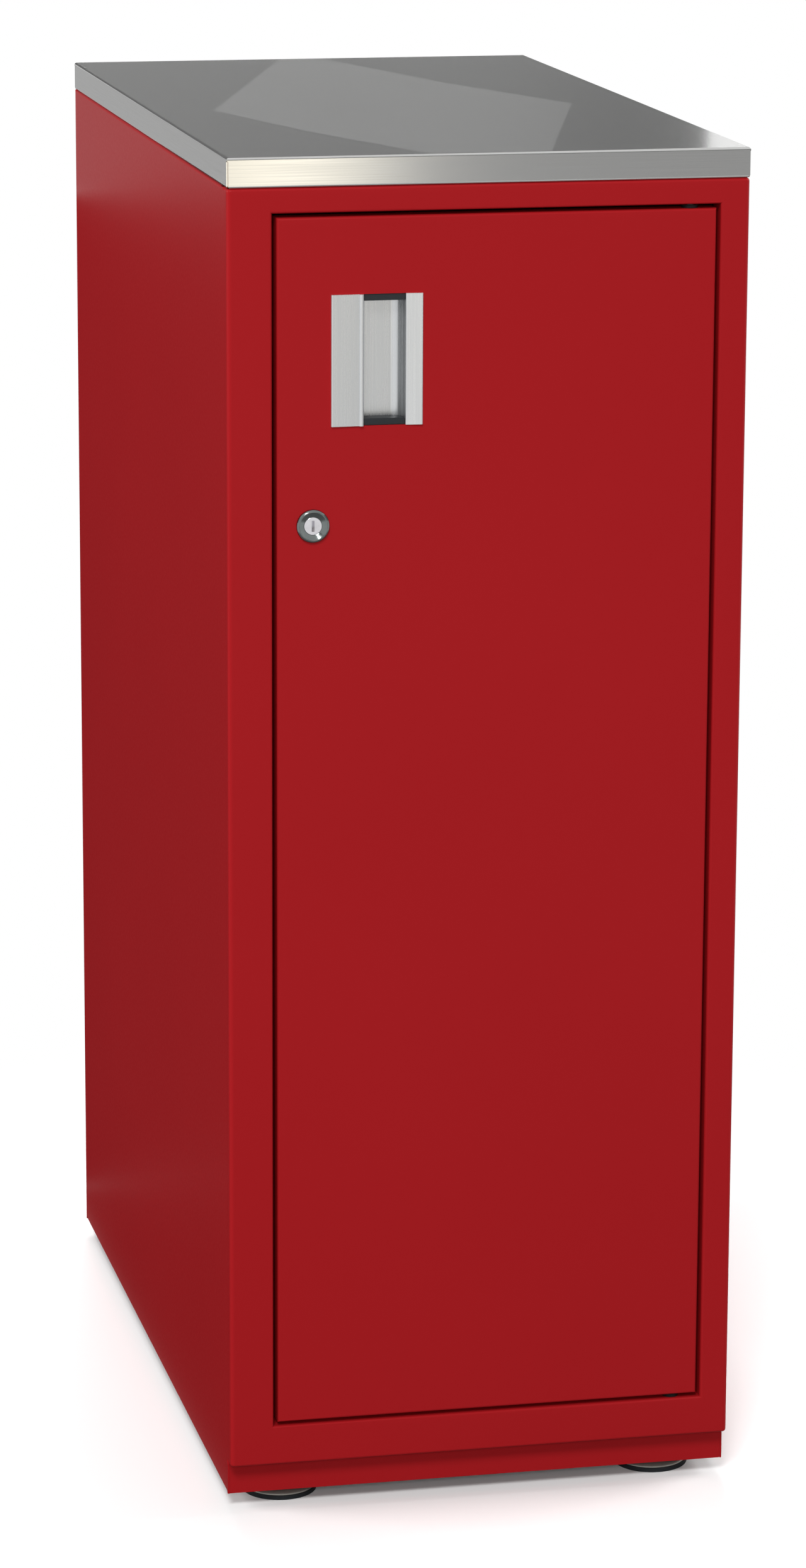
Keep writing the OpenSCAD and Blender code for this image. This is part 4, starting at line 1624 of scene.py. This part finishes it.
# The front lamp stands near the camera and lights the gaps round the door
LAMPS = (
    SoftLight("key", (-2.7, -7.1, 7.3), size=2.6, power=555.0),
    SoftLight("front", (-1.3, -6.0, 2.0), size=1.6, power=130.0, reflected=False),
    SoftLight("left", (-3.6, 0.3, 2.0), size=1.8, power=77.0),
    SoftLight("right", (3.6, 0.3, 2.4), size=1.8, power=90.0),
    SoftLight("rear", (0.4, 3.8, 2.6), size=1.8, power=130.0),
)
# The cards give the bare metal something grey to mirror, so that it stands off the white background
SIDE_TONES = ((-1.5, "#B4B4B4"), (0.2, "#6C6C6C"), (1.5, "#909090"))
CARDS = (
    Card(
        "back_card", (-2.0, 1.03), (0.7, 2.4), at=1.6,
        tones=((-2.0, "#909090"), (0.3, "#606060"), (0.7, "#606060")),
    ),
    Card(
        "high_card", (-2.5, 1.5), (2.5, 3.4), at=-4.6,
        tones=((-2.5, "#9A9A9A"), (0.0, "#767676"), (2.5, "#909090")),
    ),
    Card("low_card", (-3.0, 0.01), (-0.19, 0.885), at=0.45, tones=((-3.0, "#2E2E2E"), (-0.19, "#2E2E2E"))),
    Card(
        "toe_card", (-1.6, -0.36), (-0.2, 0.45), at=0.004,
        tones=((-1.6, "#242424"), (-0.2, "#242424")), stand=Stand.LYING,
    ),
    Card("edge_card", (-0.19, 0.01), (0.55, 1.0), at=0.45, tones=((-0.19, "#505050"), (0.55, "#606060"))),
    Card("left_card", (-1.5, 1.03), (1.5, 2.2), at=-2.4, tones=SIDE_TONES, stand=Stand.ALONG),
    Card("right_card", (-1.5, 1.03), (1.5, 2.2), at=2.4, tones=SIDE_TONES, stand=Stand.ALONG),
    Card("side_card", (-1.0, 0.89), (-0.19, 1.0), at=0.45, tones=((-1.0, "#BABABA"), (-0.19, "#BABABA"))),
    Card(
        "warm_card", (0.1, 0.5), (0.39, 1.3), at=-2.4,
        tones=((0.1, "#B0A898"), (0.25, "#FFF8E8"), (0.39, "#A0A0A0")), strength=2.3,
    ),
    Card(
        "front_card", (0.39, 0.05), (1.8, 1.2), at=-2.4,
        tones=((0.39, "#C8C8C8"), (0.5, "#B8B8B8"), (1.8, "#B8B8B8")),
    ),
)


@dataclass
class Studio:
    """White floor and background, soft lamps and reflection cards."""

    ambient: float = 0.22
    floor_size: float = 60.0
    floor_tone: str = WHITE
    bounce_tone: str = "#8A8A8A"
    fade_from: float = 0.3
    fade_to: float = 0.9
    mirror_fade: float = 0.9

    def background(self) -> None:
        """Makes the world white to the eye and to reflections, and a plain fill light otherwise."""
        world = bpy.data.worlds.new("studio")
        bpy.context.scene.world = world
        tree = emptied(world)
        path = add_node(tree, "ShaderNodeLightPath").outputs
        mirrors = {0: path["Is Glossy Ray"], 1: path["Is Transmission Ray"]}
        mirror = add_node(tree, "ShaderNodeMath", mirrors, operation="MAXIMUM").outputs[0]
        seen = add_node(tree, "ShaderNodeMath", {0: path["Is Camera Ray"], 1: mirror}, operation="MAXIMUM")
        levels = {"Value": seen.outputs[0], "To Min": self.ambient, "To Max": 1.0}
        strength = add_node(tree, "ShaderNodeMapRange", levels).outputs["Result"]
        sky = add_node(tree, "ShaderNodeBackground", {"Color": linear(WHITE), "Strength": strength})
        add_node(tree, "ShaderNodeOutputWorld", {"Surface": sky.outputs["Background"]})

    def floor(self) -> None:
        """Lays a pale floor that takes the shadow near the cabinet and fades to the white background."""
        floor = flat_sheet("floor", Vector(), self.floor_size, self.floor_size, upright=False)
        material = bpy.data.materials.new("pale_studio_floor")
        tree = emptied(material)
        place = add_node(tree, "ShaderNodeTexCoord").outputs["Object"]
        radius = add_node(tree, "ShaderNodeVectorMath", {0: place}, operation="LENGTH").outputs["Value"]
        path = add_node(tree, "ShaderNodeLightPath").outputs
        camera, glossy = path["Is Camera Ray"], path["Is Glossy Ray"]
        nearer = {0: glossy, 1: -self.mirror_fade, 2: radius}
        reach = add_node(tree, "ShaderNodeMath", nearer, operation="MULTIPLY_ADD").outputs[0]
        fade = {"Value": reach, "From Min": self.fade_from, "From Max": self.fade_to}
        far = add_node(tree, "ShaderNodeMapRange", fade, interpolation_type="SMOOTHSTEP").outputs["Result"]
        seen = add_node(tree, "ShaderNodeMath", {0: camera, 1: glossy}, operation="MAXIMUM").outputs[0]
        share = add_node(tree, "ShaderNodeMath", {0: far, 1: seen}, operation="MULTIPLY").outputs[0]
        tones = {0: camera, 6: linear(self.bounce_tone), 7: linear(self.floor_tone)}
        tone = add_node(tree, "ShaderNodeMix", tones, data_type="RGBA").outputs[2]
        pale = add_node(tree, "ShaderNodeBsdfDiffuse", {"Color": tone}).outputs["BSDF"]
        white = add_node(tree, "ShaderNodeEmission", {"Color": linear(WHITE), "Strength": 1.0})
        mixed = add_node(tree, "ShaderNodeMixShader", {0: share, 1: pale, 2: white.outputs["Emission"]})
        add_node(tree, "ShaderNodeOutputMaterial", {"Surface": mixed.outputs["Shader"]})
        floor.data.materials.append(material)

    def build(self) -> None:
        """Builds the studio."""
        self.background()
        self.floor()
        for thing in (*LAMPS, *CARDS):
            thing.add()


@dataclass(frozen=True)
class Viewpoint:
    """Camera that stands where the photograph was taken from, with its turns in degrees."""

    place: Point = (-0.857, -3.9823, 1.4339)
    yaw: float = 12.325
    pitch: float = 13.332
    roll: float = 0.249
    lens: float = 121.64
    sensor: float = 36.0

    def add(self) -> None:
        """Adds the camera and makes it the scene's own."""
        yaw, pitch, roll = (math.radians(angle) for angle in (self.yaw, self.pitch, self.roll))
        ahead = Vector((math.sin(yaw) * math.cos(pitch), math.cos(yaw) * math.cos(pitch), -math.sin(pitch)))
        level = Vector((math.cos(yaw), -math.sin(yaw), 0))
        plumb = level.cross(ahead)
        right = math.cos(roll) * level + math.sin(roll) * plumb
        up = -math.sin(roll) * level + math.cos(roll) * plumb
        lens = bpy.data.cameras.new("camera")
        lens.sensor_fit = "VERTICAL"
        lens.sensor_height = self.sensor
        lens.lens = self.lens
        camera = bpy.data.objects.new("camera", lens)
        turn = Matrix((right, up, -ahead)).transposed().to_4x4()
        camera.matrix_world = Matrix.Translation(self.place) @ turn
        bpy.context.scene.collection.objects.link(camera)
        bpy.context.scene.camera = camera


def main() -> None:
    """Builds the camera, the cabinet and the studio in order."""
    logging.basicConfig(level=logging.INFO, format="%(name)s %(message)s")
    Viewpoint().add()
    kinds = (WeldedShell, Worktop, Door, Pull, CamLock, LevellingFeet, Shelving, Fittings)
    for assembly in [kind() for kind in kinds]:
        LOG.info("building %s", type(assembly).__name__)
        assembly.build()
    Studio().build()
    bpy.context.scene.view_settings.view_transform = "Standard"


if __name__ == "__main__":
    main()
